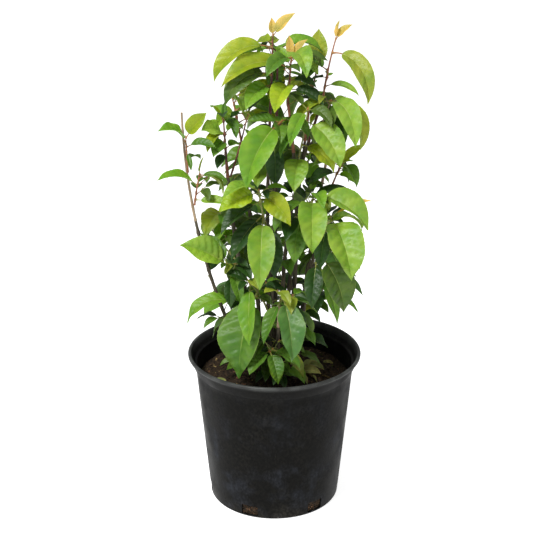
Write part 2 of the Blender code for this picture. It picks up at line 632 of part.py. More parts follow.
def pot_profile():
    """The pot's outline from the rim's inner edge over the bead, down the outside, and up the inside."""
    bead_middle = POT_HEIGHT - BEAD_HEIGHT / 2
    bead_radius = BEAD_HEIGHT / 2
    outline = []
    for step in range(5):
        angle = math.pi / 2 - math.pi * step / 4
        outline.append((RIM_RADIUS - bead_radius + bead_radius * math.cos(angle),
                        bead_middle + bead_radius * math.sin(angle)))
    collar_foot = POT_HEIGHT - COLLAR_DROP
    neck = RIM_RADIUS - COLLAR_NECK
    for step in range(1, 4):
        share = step / 4
        radius = COLLAR_RADIUS + (neck - COLLAR_RADIUS) * (1 - share) ** COLLAR_SWEEP
        outline.append((radius, POT_HEIGHT - BEAD_HEIGHT - (COLLAR_DROP - BEAD_HEIGHT) * share))
    outline.append((COLLAR_RADIUS, collar_foot))
    for step in range(3):
        angle = math.pi / 4 * step
        outline.append((BASE_RADIUS - CORNER + CORNER * math.cos(angle), CORNER - CORNER * math.sin(angle)))
    outline.append((0.0, 0.0))
    ledge_radius = COLLAR_RADIUS + INNER_FLARE - WALL
    ledge_height = POT_HEIGHT - LEDGE_DROP
    inside = [(0.0, FLOOR_THICKNESS), (wall_radius(FLOOR_THICKNESS) - WALL, FLOOR_THICKNESS),
              (COLLAR_RADIUS - WALL, collar_foot), (ledge_radius, ledge_height),
              (ledge_radius + LEDGE_STEP, ledge_height + INNER_FLARE),
              (RIM_RADIUS - BEAD_HEIGHT - INNER_FLARE, POT_HEIGHT - BEAD_HEIGHT)]
    return outline, inside


def turned_object(name, profile, closed, steps, collection, material):
    """Turn a profile in the XZ plane about Z."""
    mesh = bpy.data.meshes.new(name)
    edges = [(k, k + 1) for k in range(len(profile) - 1)]
    if closed:
        edges.append((len(profile) - 1, 0))
    mesh.from_pydata([(x * MM, 0.0, z * MM) for x, z in profile], edges, [])
    thing = mesh_object(name, mesh, collection, material)
    screw = thing.modifiers.new("turn", "SCREW")
    screw.steps = steps
    screw.render_steps = steps
    screw.use_merge_vertices = True
    screw.merge_threshold = 0.0001
    return thing


def drain_cutter(cutters):
    """Six blocks round the base, each through the wall just above its foot and into the edge of the floor."""
    blocks = []
    for number in range(HOLE_COUNT):
        angle = math.radians(FIRST_HOLE + number * 360.0 / HOLE_COUNT)
        middle = BASE_RADIUS + HOLE_OVERRUN - HOLE_REACH / 2
        height = (HOLE_TOP + HOLE_SILL) / 2
        bpy.ops.mesh.primitive_cube_add(size=1.0)
        block = bpy.context.object
        block.name = f"drain_{number}"
        block.scale = (HOLE_REACH * MM, HOLE_WIDTH * MM, (HOLE_TOP - HOLE_SILL) * MM)
        block.rotation_euler[2] = angle
        block.location = (middle * math.cos(angle) * MM, middle * math.sin(angle) * MM, height * MM)
        bpy.context.view_layer.update()
        block.data.transform(block.matrix_world)
        block.matrix_world.identity()
        for holder in list(block.users_collection):
            holder.objects.unlink(block)
        cutters.objects.link(block)
        show_as_cutter(block)
        soften_block(block)
        blocks.append(block)
    return blocks


def soften_block(block):
    """Round the hole's corners."""
    rounding = block.modifiers.new("round", "BEVEL")
    rounding.width = HOLE_ROUNDING * MM
    rounding.segments = 2
    rounding.limit_method = "ANGLE"


def make_pot(collection, cutters, material):
    outline, inside = pot_profile()
    pot = turned_object("pot", outline + inside, True, POT_STEPS, collection, material)
    for block in drain_cutter(cutters):
        cut = pot.modifiers.new("drain", "BOOLEAN")
        cut.object = block
    pot.data.shade_smooth()
    return pot


def make_mix(collection, material):
    """The potting mix fills the pot, a hair clear of its floor and wall, with a level top."""
    low = FLOOR_THICKNESS + GAP
    clear = WALL + MIX_CLEARANCE
    profile = [(0.0, SOIL_LEVEL), (wall_radius(SOIL_LEVEL) - clear, SOIL_LEVEL),
               (wall_radius(low) - clear, low), (0.0, low)]
    return turned_object("potting_mix", profile, False, SOIL_STEPS, collection, material)


# ---------------------------------------------------------------- assembly
def build():
    clear_scene()
    plant = new_collection("potted_nannyberry")
    cutters = new_collection("cutters")
    black_plastic = plain_material("black_plastic", (0.012, 0.012, 0.013), 0.55)
    bark_mix = plain_material("bark_mix", (0.06, 0.035, 0.02), 0.95)
    bark = plain_material("bark", (0.16, 0.11, 0.07), 0.8)
    foliage = plain_material("foliage", (0.16, 0.32, 0.06), 0.45)

    make_pot(plant, cutters, black_plastic)
    make_mix(plant, bark_mix)
    arcs, limb_trees = grow_limbs(plant, bark)

    grown = grow_shoots(arcs, limb_trees)
    for name, growth in grown.items():
        fuse_shoot(name, growth.skins, plant, foliage)
    leaf_count = sum(len(growth.skins) - 1 for growth in grown.values())
    print(f"{len(CANES)} canes, {len(BOUGHS)} boughs, {len(SHOOTS)} leafy shoots, {leaf_count} leaves")


build()
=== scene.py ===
# %% [markdown]
# # A nannyberry in a black nursery pot
# A young nannyberry is a clump of thin canes. Each cane ends in a leafy shoot, and more shoots leave it
# lower down. The leaves stand in opposite pairs, droop on slim stalks and are folded along the midrib.
# This lesson grows them from the same tables as the solid model, one finish at a time, and turns the pot
# on its axis.

# %% Open the frame
import math
import random
from collections import namedtuple

import bpy
import numpy as np
from mathutils import Euler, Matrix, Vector, noise
from mathutils.bvhtree import BVHTree


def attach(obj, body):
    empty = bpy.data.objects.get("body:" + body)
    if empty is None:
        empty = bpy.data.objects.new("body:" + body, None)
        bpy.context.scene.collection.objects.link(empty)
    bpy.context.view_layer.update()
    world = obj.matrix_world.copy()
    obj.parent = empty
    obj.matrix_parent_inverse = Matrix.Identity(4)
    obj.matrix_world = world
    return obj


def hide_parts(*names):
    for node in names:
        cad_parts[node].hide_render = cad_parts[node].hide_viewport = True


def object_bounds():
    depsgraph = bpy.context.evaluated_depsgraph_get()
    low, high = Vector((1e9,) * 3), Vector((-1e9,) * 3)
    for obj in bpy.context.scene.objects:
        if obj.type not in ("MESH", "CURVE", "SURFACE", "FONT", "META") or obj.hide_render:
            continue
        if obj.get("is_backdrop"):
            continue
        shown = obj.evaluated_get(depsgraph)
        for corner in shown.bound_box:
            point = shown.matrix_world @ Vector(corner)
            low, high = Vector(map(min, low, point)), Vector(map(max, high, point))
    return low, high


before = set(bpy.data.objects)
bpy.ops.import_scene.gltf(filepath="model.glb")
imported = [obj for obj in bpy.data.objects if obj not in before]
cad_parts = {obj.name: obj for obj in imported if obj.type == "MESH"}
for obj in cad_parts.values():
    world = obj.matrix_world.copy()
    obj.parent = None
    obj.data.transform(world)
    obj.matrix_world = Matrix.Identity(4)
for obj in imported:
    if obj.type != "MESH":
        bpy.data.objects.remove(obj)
frame_box = [list(corner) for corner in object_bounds()]
scene = bpy.context.scene
print("nodes in the frame:", len(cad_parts))

# %% [markdown]
# ## The camera
# The plant is seen from a little above, from a good distance, so a long lens keeps the pot's sides nearly
# straight. The lens is worked out from the picture's width in pixels, and a small shift puts the pot's
# axis where it belongs without turning the camera.

# %% Set up the camera
PICTURE = 533
SENSOR = 36.0
FOCAL = 1366
AXIS_COLUMN = 274.3
EYE = (0.0, -1.725, 1.022)
LOOKING_DOWN = 0.376

camera = bpy.data.objects.new("camera", bpy.data.cameras.new("camera"))
scene.collection.objects.link(camera)
camera.data.sensor_width = SENSOR
camera.data.lens = FOCAL * SENSOR / PICTURE
camera.data.shift_x = -(AXIS_COLUMN - PICTURE / 2) / PICTURE
camera.location = EYE
camera.rotation_euler = (math.pi / 2 - LOOKING_DOWN, 0.0, 0.0)
scene.camera = camera
print(f"lens {camera.data.lens:.1f} mm")

# %% [markdown]
# ## Light and floor
# The plant stands on white paper in a white room. The room is the world's plain white, which reaches
# under every leaf. One broad lamp above and to the left models the leaves, and the paper glows faintly,
# so that only a thin shadow is left where the pot stands.

# %% Light the room
PLANT_MIDDLE = (0.0, 0.0, 0.42)


def broad_lamp(name, place, size, power):
    lamp = bpy.data.objects.new(name, bpy.data.lights.new(name, "AREA"))
    scene.collection.objects.link(lamp)
    lamp.data.shape = "DISK"
    lamp.data.size = size
    lamp.data.energy = power
    lamp.location = place
    lamp.rotation_euler = (Vector(PLANT_MIDDLE) - Vector(place)).to_track_quat("-Z", "Y").to_euler()


scene.view_settings.view_transform = "Standard"
scene.world = bpy.data.worlds.new("white_room")
scene.world.use_nodes = True
room = scene.world.node_tree.nodes["Background"]
room.inputs["Color"].default_value = (1.0, 1.0, 1.0, 1.0)
room.inputs["Strength"].default_value = 0.5
broad_lamp("key", (-0.9, -1.2, 2.1), 0.6, 68.0)
broad_lamp("fill", (1.5, -1.6, 1.2), 1.4, 8.0)

# %% [markdown]
# ## A short way to write materials
# A node tree is long to write by hand. `Wire` wraps a socket, so that a sum or product of wires adds its
# Math nodes. `Finish` holds one material, and its `node` method adds any other node: the settings come
# first, then the values or wires of its sockets.

# %% Wires and finishes
class Wire:
    def __init__(self, finish, socket):
        self.finish = finish
        self.socket = socket

    def maths(self, operation, first, second):
        return self.finish.node("ShaderNodeMath", {"operation": operation}, {0: first, 1: second})

    def __add__(self, other):
        return self.maths("ADD", self, other)

    def __radd__(self, other):
        return self.maths("ADD", other, self)

    def __mul__(self, other):
        return self.maths("MULTIPLY", self, other)


class Finish:
    def __init__(self, name, **constants):
        self.material = bpy.data.materials.new(name)
        self.material.use_nodes = True
        self.tree = self.material.node_tree
        self.shader = self.tree.nodes["Principled BSDF"]
        self.place = self.node("ShaderNodeTexCoord", output="Object")
        self.set(**constants)

    def node(self, kind, settings=None, inputs=None, output=0):
        made = self.tree.nodes.new(kind)
        for name, value in (settings or {}).items():
            if name == "stops":
                self.set_stops(made.color_ramp, value)
            else:
                setattr(made, name, value)
        for name, value in (inputs or {}).items():
            self.feed(made.inputs[name], value)
        return Wire(self, made.outputs[output])

    def set_stops(self, ramp, stops):
        while len(ramp.elements) < len(stops):
            ramp.elements.new(1.0)
        for element, (position, value) in zip(ramp.elements, stops):
            element.position = position
            element.color = (value, value, value, 1.0)

    def set(self, **values):
        """Give the shader's sockets their values or wires. A _ stands for the space in a socket's name."""
        for socket, value in values.items():
            self.feed(self.shader.inputs[socket.replace("_", " ")], value)

    def feed(self, socket, value):
        if isinstance(value, Wire):
            self.tree.links.new(value.socket, socket)
        else:
            socket.default_value = value

    def grain(self, scale, detail=3.0, stretch=(1, 1, 1), shift=0.0):
        """Noise from 0 to 1, with scale in patches for each metre."""
        spot = self.node("ShaderNodeMapping", None,
                         {"Vector": self.place, "Location": (shift, shift, shift), "Scale": stretch})
        return self.node("ShaderNodeTexNoise", None, {"Vector": spot, "Scale": scale, "Detail": detail})

    def ramp(self, value, *stops):
        return self.node("ShaderNodeValToRGB", {"stops": stops}, {"Fac": value})

    def blend(self, share, first, second):
        return self.node("ShaderNodeMix", {"data_type": "RGBA"}, {0: share, 6: first, 7: second}, output=2)

    def relief(self, height, distance, strength=1.0):
        bump = self.node("ShaderNodeBump", None,
                         {"Height": height, "Distance": distance, "Strength": strength})
        self.set(Normal=bump)


def paint(red, green, blue):
    """A colour given as on a paint chart, from 0 to 255, as the shader's linear numbers."""
    tones = [((min(255, value) / 255 + 0.055) / 1.055) ** 2.4 for value in (red, green, blue)]
    return (*tones, 1.0)


print("black plastic is near", [round(value, 3) for value in paint(30, 31, 33)[:3]])

# %% Lay the floor
def deselect():
    bpy.ops.object.select_all(action="DESELECT")


deselect()
bpy.ops.mesh.primitive_plane_add(size=14.0, location=(0, 0, -0.0006))
floor = bpy.context.object
floor.name = "paper_floor"
bpy.ops.object.transform_apply(location=True, rotation=True, scale=True)
paper = Finish("white_paper", Roughness=0.9, Emission_Strength=0.7, Emission_Color=(1.0, 1.0, 1.0, 1.0))
paper.set(Base_Color=paper.blend(paper.grain(3.0), (0.80, 0.80, 0.80, 1.0), (0.82, 0.82, 0.82, 1.0)))
floor.data.materials.append(paper.material)
floor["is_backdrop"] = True

# %% [markdown]
# ## The plan of the plant
# Every limb and every leaf stalk follows an arc: it leaves its start at a heading and a rise, and sags
# evenly along its length. Lengths are millimetres and angles are degrees. A heading of 0 points along +X,
# and 270 points to the front. Canes stand in the potting mix, boughs and shoots name the limb that
# carries them, and each planned leaf adds a letter for its colour.

# %% Tables of canes, boughs and shoots
MM = 0.001
FULL_TURN = 2 * math.pi
GAP = 0.3
POT_HEIGHT = 216.5
COLLAR_RADIUS = 109.2
SOIL_LEVEL = 178.0

# Ranges for turns in radians, and where the seeds of each piece of work start
ANY_TURN = (0, 6.3)
ANY_HALF_TURN = (0, 3.14)
SEEDS = {"leaf": 0, "pairs": 0, "bark": 200, "bough": 300, "young": 500, "cane": 600, "cane_again": 700,
         "chips": 700, "fallen": 900, "tones": 1000}


def chance_for(work, number):
    """Each piece of work draws from a chance of its own, so a change in one leaves the others alone."""
    return random.Random(SEEDS[work] + number)


Limb = namedtuple("Limb", "x y turn rise length sag foot tip old young")
Bough = namedtuple("Bough", "on at turn rise length sag foot tip")
Shoot = namedtuple("Shoot", "on at turn rise length sag thick pairs leaf_length wood")
Leaf = namedtuple("Leaf", "at turn rise length sag face wide tone")

# The last two columns: how far up the bark is old and grey, and the colour of the young bark above that
CANES = {
    "cane_cut": (-29, -9, 187, 64, 392, -25, 2.8, 1.3, 0.62, "tan"),
    "cane_left": (-15, 4, 190, 76, 312, -10, 3.4, 2.0, 0.93, "red"),
    "cane_mid": (-4, -7, 170, 87, 402, -6, 3.2, 1.7, 0.8, "maroon"),
    "cane_mid_back": (1, 12, 75, 90, 415, 3, 3.0, 1.6, 0.8, "maroon"),
    "cane_mid_right": (11, -9, 0, 80, 389, -18, 3.4, 1.8, 0.83, "red"),
    "cane_right": (17, 6, 13, 97, 388, 28, 3.2, 1.7, 0.86, "maroon"),
    "cane_back_right": (13, 24, 35, 86, 385, 5, 3.0, 1.6, 0.84, "red"),
    "cane_far_right": (28, -6, 355, 85, 283, 10, 3.2, 1.8, 0.7, "tan"),
    "cane_back_left": (-17, 20, 134, 86, 320, 6, 3.2, 1.8, 0.8, "maroon"),
    "cane_back": (-2, 32, 80, 88, 373, 6, 3.2, 1.8, 0.78, "red"),
    "cane_rear_right": (31, 14, 30, 85, 326, 8, 3.2, 1.8, 0.82, "tan"),
    "cane_front": (4, -25, 275, 84, 128, 16, 3.0, 2.0, 0.7, "tan"),
}
CANES = {name: Limb(*row) for name, row in CANES.items()}

BOUGHS = {
    "bough_left": ("cane_left", 0.93, 20, 70, 74, -6, 1.4, 0.9),
    "bough_low_left": ("cane_left", 0.42, 236, 46, 28, -10, 1.9, 1.3),
    "bough_right": ("cane_right", 0.84, 318, 52, 24, -6, 1.9, 1.5),
    "bough_low_right": ("cane_far_right", 0.5, 292, 66, 42, 14, 2.0, 1.4),
    "bough_low_back": ("cane_back", 0.3, 100, 40, 48, -10, 2.0, 1.4),
}
BOUGHS = {name: Bough(*row) for name, row in BOUGHS.items()}

SHOOTS = {
    "top_left": ("cane_mid", 1.0, 329, 88, 74, 0, 1.5, 1, 60, "maroon"),
    "top_mid": ("cane_mid_right", 1.0, 338, 86, 60, 0, 1.5, 1, 55, "red"),
    "top_back": ("cane_mid_back", 1.0, 80, 82, 34, 4, 1.4, 3, 70, "maroon"),
    "top_right": ("cane_right", 1.0, 347, 83, 86, 8, 1.5, 1, 60, "red"),
    "right_back": ("cane_back_right", 1.0, 26, 76, 36, 0, 1.4, 1, 70, "red"),
    "right_mid": ("bough_right", 1.0, 322, 64, 54, -4, 1.3, 2, 60, "tan"),
    "right_arm": ("cane_far_right", 1.0, 332, 70, 28, 8, 1.4, 1, 50, "red"),
    "mid_front": ("cane_mid_right", 0.78, 298, 66, 90, -10, 1.4, 2, 60, "green"),
    "left_top": ("cane_left", 1.0, 224, 86, 57, 0, 1.6, 2, 50, "maroon"),
    "left_arm": ("cane_mid", 0.84, 304, 46, 42, -10, 1.4, 2, 60, "maroon"),
    "bough_left": ("bough_left", 1.0, 20, 70, 12, 0, 0.9, 1, 32, "red"),
    "cut_cane": ("cane_cut", 0.8, 240, 84, 46, -4, 1.3, 2, 45, "red"),
    "cut_side": ("cane_cut", 0.68, 342, 82, 42, 4, 1.3, 2, 45, "red"),
    "centre": ("cane_mid", 0.54, 255, 50, 74, -20, 1.6, 1, 70, "green"),
    "centre_right": ("cane_mid_right", 0.6, 300, 40, 60, -12, 1.6, 2, 70, "green"),
    "right_low": ("cane_far_right", 0.72, 292, 45, 58, -10, 1.5, 2, 70, "green"),
    "skirt_right": ("bough_low_right", 1.0, 295, 50, 22, 10, 1.3, 0, 70, "green"),
    "skirt_left": ("bough_low_left", 1.0, 222, 58, 24, -5, 1.2, 0, 70, "green"),
    "low_left": ("cane_left", 0.3, 232, 38, 34, 0, 1.2, 0, 60, "green"),
    "skirt_front": ("cane_mid", 0.25, 235, 62, 64, 20, 1.6, 0, 70, "green"),
    "skirt_mid": ("cane_front", 1.0, 285, 60, 26, 20, 1.5, 0, 70, "green"),
    "pot_front": ("cane_front", 0.42, 250, 32, 30, 30, 1.4, 0, 60, "green"),
    "back_left": ("cane_back_left", 1.0, 134, 76, 60, 5, 1.6, 5, 80, "red"),
    "back": ("cane_back", 1.0, 80, 78, 62, 5, 1.6, 5, 80, "maroon"),
    "rear_right": ("cane_rear_right", 1.0, 30, 72, 60, 5, 1.6, 5, 80, "red"),
    "back_low_left": ("cane_back_left", 0.52, 150, 44, 66, -10, 1.5, 5, 80, "green"),
    "back_low": ("bough_low_back", 1.0, 100, 50, 34, -8, 1.3, 4, 90, "green"),
    "back_mid": ("cane_back", 0.66, 110, 48, 58, -10, 1.5, 5, 80, "green"),
    "rear_low": ("cane_rear_right", 0.45, 350, 46, 66, -10, 1.5, 5, 80, "green"),
    "rear_mid": ("cane_back_right", 0.7, 60, 46, 50, -10, 1.4, 3, 78, "green"),
    "skirt_back": ("cane_back", 0.2, 75, 52, 52, 15, 1.5, 3, 82, "green"),
    "skirt_rear": ("cane_rear_right", 0.22, 42, 50, 48, 15, 1.5, 3, 74, "green"),
    "skirt_back_left": ("cane_back_left", 0.24, 128, 50, 50, 15, 1.5, 3, 82, "green"),
    "left_back": ("cane_left", 0.55, 165, 44, 52, -12, 1.4, 3, 78, "green"),
}
SHOOTS = {"leaves_" + name: Shoot(*row) for name, row in SHOOTS.items()}
print(len(CANES), "canes,", len(BOUGHS), "boughs,", len(SHOOTS), "shoots")

# %% [markdown]
# ## The planned leaves
# The front of the shrub is planned leaf by leaf, because its silhouette is what people know it by. Each
# leaf gives how far along its twig it stands, then its heading, rise, length with the stalk, sag, how far
# its face turns to the front, its relative width, and its colour: w vivid, y yellow-green, l light, b
# bright, m mid, g mossy, t blue-green, d deep, v olive and o bronze.

# %% The planned leaves
PLAN = {
    "top_left": (
        (0.78, 196, 23, 98, 102, 30, 0.76, "y"), (0.86, 128, 15, 44, 60, 30, 1.1, "y"),
        (0.3, 213, 28, 88, 104, 30, 0.85, "g"), (0.12, 230, 8, 60, 60, 25, 1.1, "b"),
        (0.1, 200, -24, 44, 40, 40, 1.0, "d"), (1.0, 150, 84, 24, 0, 50, 1.1, "o"),
        (1.0, 350, 56, 42, 20, 55, 1.0, "o"), (0.4, 148, 22, 66, 90, 0, 1.0, "m")),
    "top_mid": (
        (0.74, 203, 37, 106, 92, 32, 0.7, "y"), (0.9, 290, 62, 76, 138, 14, 1.05, "l"),
        (0.8, 140, 60, 36, 40, 40, 1.0, "b"), (1.0, 130, 84, 30, 0, 50, 1.0, "o"),
        (1.0, 342, 70, 34, 20, 50, 1.0, "o"), (0.4, 250, 14, 62, 80, 10, 1.25, "w"),
        (0.5, 331, 22, 42, 60, 20, 1.0, "d"), (0.3, 340, 10, 54, 60, 20, 1.0, "d")),
    "top_right": (
        (1.0, 340, 80, 28, 0, 50, 0.8, "o"), (1.0, 347, 60, 32, 30, 50, 1.0, "o"),
        (0.78, 318, 16, 100, 122, 30, 0.7, "v"), (0.5, 131, 24, 64, 60, 0, 1.0, "m"),
        (0.25, 335, 30, 54, 80, 25, 0.6, "l")),
    "right_back": (
        (0.9, 76, 80, 58, 6, 0, 1.2, "v"), (0.3, 100, 16, 60, 80, 0, 1.0, "b"),
        (0.8, 300, 74, 24, 0, 30, 0.9, "y"), (0.2, 124, 4, 74, 80, 0, 1.0, "m")),
    "right_mid": (
        (1.0, 337, 3, 87, 116, 30, 0.8, "y"), (0.95, 298, 30, 94, 134, 20, 0.85, "l"),
        (0.6, 315, -4, 40, 50, 20, 1.0, "d"), (0.12, 300, 22, 60, 92, 15, 1.0, "d")),
    "right_arm": (
        (0.95, 3, 58, 44, 30, 30, 1.0, "y"), (0.85, 319, 22, 28, 40, 30, 0.6, "m"),
        (0.7, 27, 13, 31, 60, 30, 0.8, "m"), (0.6, 221, 24, 55, 60, 20, 0.9, "d")),
    "mid_front": (
        (1.0, 240, -4, 62, 70, 10, 0.85, "b"), (0.2, 262, -4, 64, 56, 5, 1.3, "l"),
        (0.8, 315, 8, 84, 74, 20, 1.1, "l"), (0.4, 325, 8, 62, 74, 15, 1.1, "y")),
    "left_arm": (
        (0.97, 232, -12, 108, 66, 26, 1.1, "b"), (0.9, 196, 30, 46, 50, 20, 1.0, "m"),
        (0.4, 200, -30, 72, 50, 30, 0.9, "d"), (0.2, 282, -42, 66, 40, 20, 1.0, "d")),
    "left_top": (
        (0.66, 222, 42, 42, 50, 35, 1.7, "l"), (0.5, 248, 12, 40, 64, 20, 1.2, "m"),
        (0.97, 195, 62, 28, 10, 30, 0.8, "y"), (0.97, 80, 76, 26, 10, 30, 0.8, "m"),
        (0.2, 237, -16, 28, 40, 20, 1.3, "d"), (0.3, 30, 24, 46, 80, 10, 1.0, "m")),
    "cut_cane": (
        (0.8, 222, 75, 58, 90, 25, 0.9, "b"), (1.0, 5, 60, 44, 20, 50, 1.4, "y"),
        (0.72, 335, 35, 46, 60, 25, 0.9, "m"), (0.6, 295, -41, 28, 30, 0, 0.7, "m"),
        (0.3, 60, 30, 34, 80, 0, 1.0, "m")),
    "cut_side": (
        (1.0, 330, 84, 28, 20, 30, 0.8, "y"), (0.85, 346, 45, 46, 100, 20, 0.6, "m"),
        (0.62, 212, 50, 66, 70, 20, 0.8, "b"), (0.14, 335, 8, 53, 12, 30, 0.8, "l"),
        (0.4, 90, 30, 44, 80, 0, 1.0, "m")),
    "centre": (
        (0.95, 209, 5, 62, 40, 35, 1.35, "w"), (0.75, 205, -10, 70, 46, 20, 1.0, "d"),
        (0.4, 216, -26, 76, 40, 20, 0.9, "d"), (0.4, 267, -22, 108, 56, 0, 0.9, "l"),
        (0.9, 314, 4, 66, 62, 40, 1.15, "y"), (0.78, 20, 0, 34, 40, 20, 1.0, "d"),
        (0.8, 172, 66, 38, 30, 30, 0.8, "d"), (0.2, 290, -34, 80, 50, 10, 0.9, "d")),
    "centre_right": (
        (0.85, 268, 4, 90, 88, 0, 1.2, "l"), (1.0, 334, 9, 89, 68, 15, 1.3, "l"),
        (0.66, 178, 60, 48, 40, 20, 0.8, "d"), (0.25, 250, -34, 72, 50, 20, 1.0, "m")),
    "right_low": (
        (0.95, 290, 0, 102, 84, 0, 1.35, "l"), (0.7, 250, -46, 62, 40, 10, 1.0, "d"),
        (0.87, 330, 58, 36, 30, 20, 0.9, "d"), (1.0, 356, 45, 61, 40, 30, 0.5, "o"),
        (0.4, 10, 0, 62, 80, 10, 1.0, "m")),
    "skirt_right": (
        (0.9, 308, -27, 85, 60, 12, 1.45, "g"), (0.3, 306, -30, 92, 40, 10, 0.6, "m"),
        (0.3, 268, -28, 70, 50, 10, 0.9, "d")),
    "skirt_left": (
        (0.9, 195, 45, 77, 30, 45, 1.4, "l"), (0.6, 300, -28, 50, 50, 25, 0.9, "m"),
        (0.95, 160, 70, 60, 40, 30, 0.9, "m"), (0.4, 262, -36, 50, 40, 10, 0.9, "d")),
    "low_left": (
        (1.0, 192, 40, 82, 114, 24, 0.72, "b"), (0.7, 250, -26, 46, 40, 10, 0.9, "d")),
    "skirt_front": (
        (0.6, 240, -40, 122, 44, 0, 1.35, "m"), (1.0, 268, -20, 90, 64, -24, 0.8, "b"),
        (0.95, 171, 40, 40, 60, 20, 1.0, "d")),
    "skirt_mid": (
        (1.0, 286, -26, 92, 60, 0, 1.1, "t"), (0.6, 236, -32, 66, 40, 0, 0.8, "m"),
        (0.7, 331, -24, 58, 50, 0, 0.9, "d"), (0.4, 20, 10, 60, 70, 0, 1.0, "m")),
    "pot_front": (
        (0.9, 226, -4, 48, 50, 0, 1.3, "m"), (0.95, 276, -10, 46, 50, 0, 1.3, "m"),
        (0.7, 325, 4, 52, 50, 0, 1.3, "m"), (0.8, 350, -2, 62, 56, 10, 1.1, "v"),
        (0.5, 204, 14, 42, 50, 20, 1.3, "d"), (1.0, 300, -34, 48, 40, 10, 1.1, "b")),
}
PLAN = {"leaves_" + name: [Leaf(*row) for row in rows] for name, rows in PLAN.items()}
print(sum(len(leaves) for leaves in PLAN.values()), "planned leaves")

# %% [markdown]
# ## Arcs and plain skins
# Before a leaf is made in detail, a plain four-sided skin of it is tried in its place. The skin is a loft
# of a few sections, cheap to test, and it is the same one that the solid model uses, so every leaf finds
# the same place here as there.

# %% Arcs
ARC_SAMPLES = 41


def arc(start, turn, rise, length, sag, fractions):
    """Points and directions of a line that leaves start at a heading and a rise, and sags evenly."""
    def ways_at(shares):
        tilt, heading = np.radians(rise - sag * np.asarray(shares)), math.radians(turn)
        level = np.cos(tilt)
        return np.stack([level * math.cos(heading), level * math.sin(heading), np.sin(tilt)], axis=1)

    steps = np.linspace(0.0, 1.0, ARC_SAMPLES)
    ways = ways_at(steps)
    middles = 0.5 * (ways[1:] + ways[:-1]) * length * (steps[1] - steps[0])
    line = np.concatenate([np.zeros((1, 3)), np.cumsum(middles, axis=0)]) + np.asarray(start, float)
    points = np.stack([np.interp(fractions, steps, line[:, axis]) for axis in range(3)], axis=1)
    return points, ways_at(fractions)


def line_of(start, thing):
    """What arc needs to follow a limb, a twig or a leaf that leaves start."""
    return start, thing.turn, thing.rise, thing.length, thing.sag


def point_on(line, at):
    return arc(*line, [at])[0][0]


def way_of(turn, rise):
    """The direction of one heading and rise."""
    return arc((0, 0, 0), turn, rise, 1.0, 0.0, [0.0])[1][0]


def side_way(turn):
    """The level direction to the right of a heading."""
    turn = math.radians(turn)
    return np.array([math.sin(turn), -math.cos(turn), 0.0])


def blade_axes(leaf, ways, twist=0.0):
    """For each point of a leaf's midrib: the direction across the blade, and out of its upper face."""
    level_side = side_way(leaf.turn)
    front = -1.0 if level_side[1] > 0 else 1.0
    roll = (np.radians(leaf.face) * front + twist) * np.ones(len(ways))
    over = np.cross(level_side, ways)
    side = level_side * np.cos(roll)[:, None] - over * np.sin(roll)[:, None]
    normal = over * np.cos(roll)[:, None] + level_side * np.sin(roll)[:, None]
    return side, normal


# %% Plain skins for testing a place
TWIG_STEPS = 4
TWIG_SIDES = 3
TWIG_THINNING = 0.45
PETIOLE_SHARE = 0.17
PETIOLE_RADIUS = 0.9
BLADE_RATIO = 0.6
FINE_RATIO = 0.52
BLADE_THICKNESS = 1.2
BLADE_FOLD = math.radians(22.0)
BLADE_STATIONS = (0.2, 0.5, 0.82)
BLADE_SKEW = 0.75
BLADE_FULLNESS = 0.85


def loft(sections, pointed):
    """Vertices and faces of a closed skin over equal rings, ending in a flat cap or in a point."""
    size = len(sections[0])
    rings = sections[:-1] if pointed else sections
    verts = [tuple(point) for ring in rings for point in ring]
    faces = [tuple(reversed(range(size)))]
    for row in range(len(rings) - 1):
        low = row * size
        for k in range(size):
            after = (k + 1) % size
            faces.append((low + k, low + after, low + size + after, low + size + k))
    last = (len(rings) - 1) * size
    if pointed:
        verts.append(tuple(sections[-1][0]))
        faces += [(last + k, last + (k + 1) % size, last + size) for k in range(size)]
    else:
        faces.append(tuple(range(last, last + size)))
    return verts, faces


def twig_skin(line, thick, extra):
    fractions = np.linspace(0.0, 1.0, TWIG_STEPS + 1)
    points, ways = arc(*line, fractions)
    side = side_way(line[1])
    sections = []
    for point, way, fraction in zip(points, ways, fractions):
        radius = thick * (1.0 - TWIG_THINNING * fraction) + extra
        over = np.cross(side, way)
        angles = [FULL_TURN * k / TWIG_SIDES for k in range(TWIG_SIDES)]
        sections.append([point + radius * (math.cos(a) * over - math.sin(a) * side) for a in angles])
    return loft(sections, pointed=False)


def leaf_skin(start, leaf, extra):
    stations = [PETIOLE_SHARE + (1 - PETIOLE_SHARE) * share for share in BLADE_STATIONS]
    fractions = [0.0, PETIOLE_SHARE] + stations + [1.0]
    points, ways = arc(*line_of(start, leaf), fractions)
    sides, normals = blade_axes(leaf, ways)
    half = 0.5 * BLADE_RATIO * leaf.wide * leaf.length * (1 - PETIOLE_SHARE)
    sections = []
    for index, (point, side, normal) in enumerate(zip(points, sides, normals)):
        wide, lift, thick = PETIOLE_RADIUS + extra, 0.0, PETIOLE_RADIUS + extra
        if 1 < index < len(fractions) - 1:
            share = BLADE_STATIONS[index - 2]
            spread = half * math.sin(math.pi * share ** BLADE_SKEW) ** BLADE_FULLNESS + extra
            wide, lift = spread * math.cos(BLADE_FOLD), spread * math.sin(BLADE_FOLD)
            thick = 0.5 * BLADE_THICKNESS + extra
        sections.append([point + wide * side + lift * normal, point + thick * normal,
                         point - wide * side + lift * normal, point - thick * normal])
    sections[-1] = [points[-1] + ways[-1] * extra]
    return loft(sections, pointed=True)


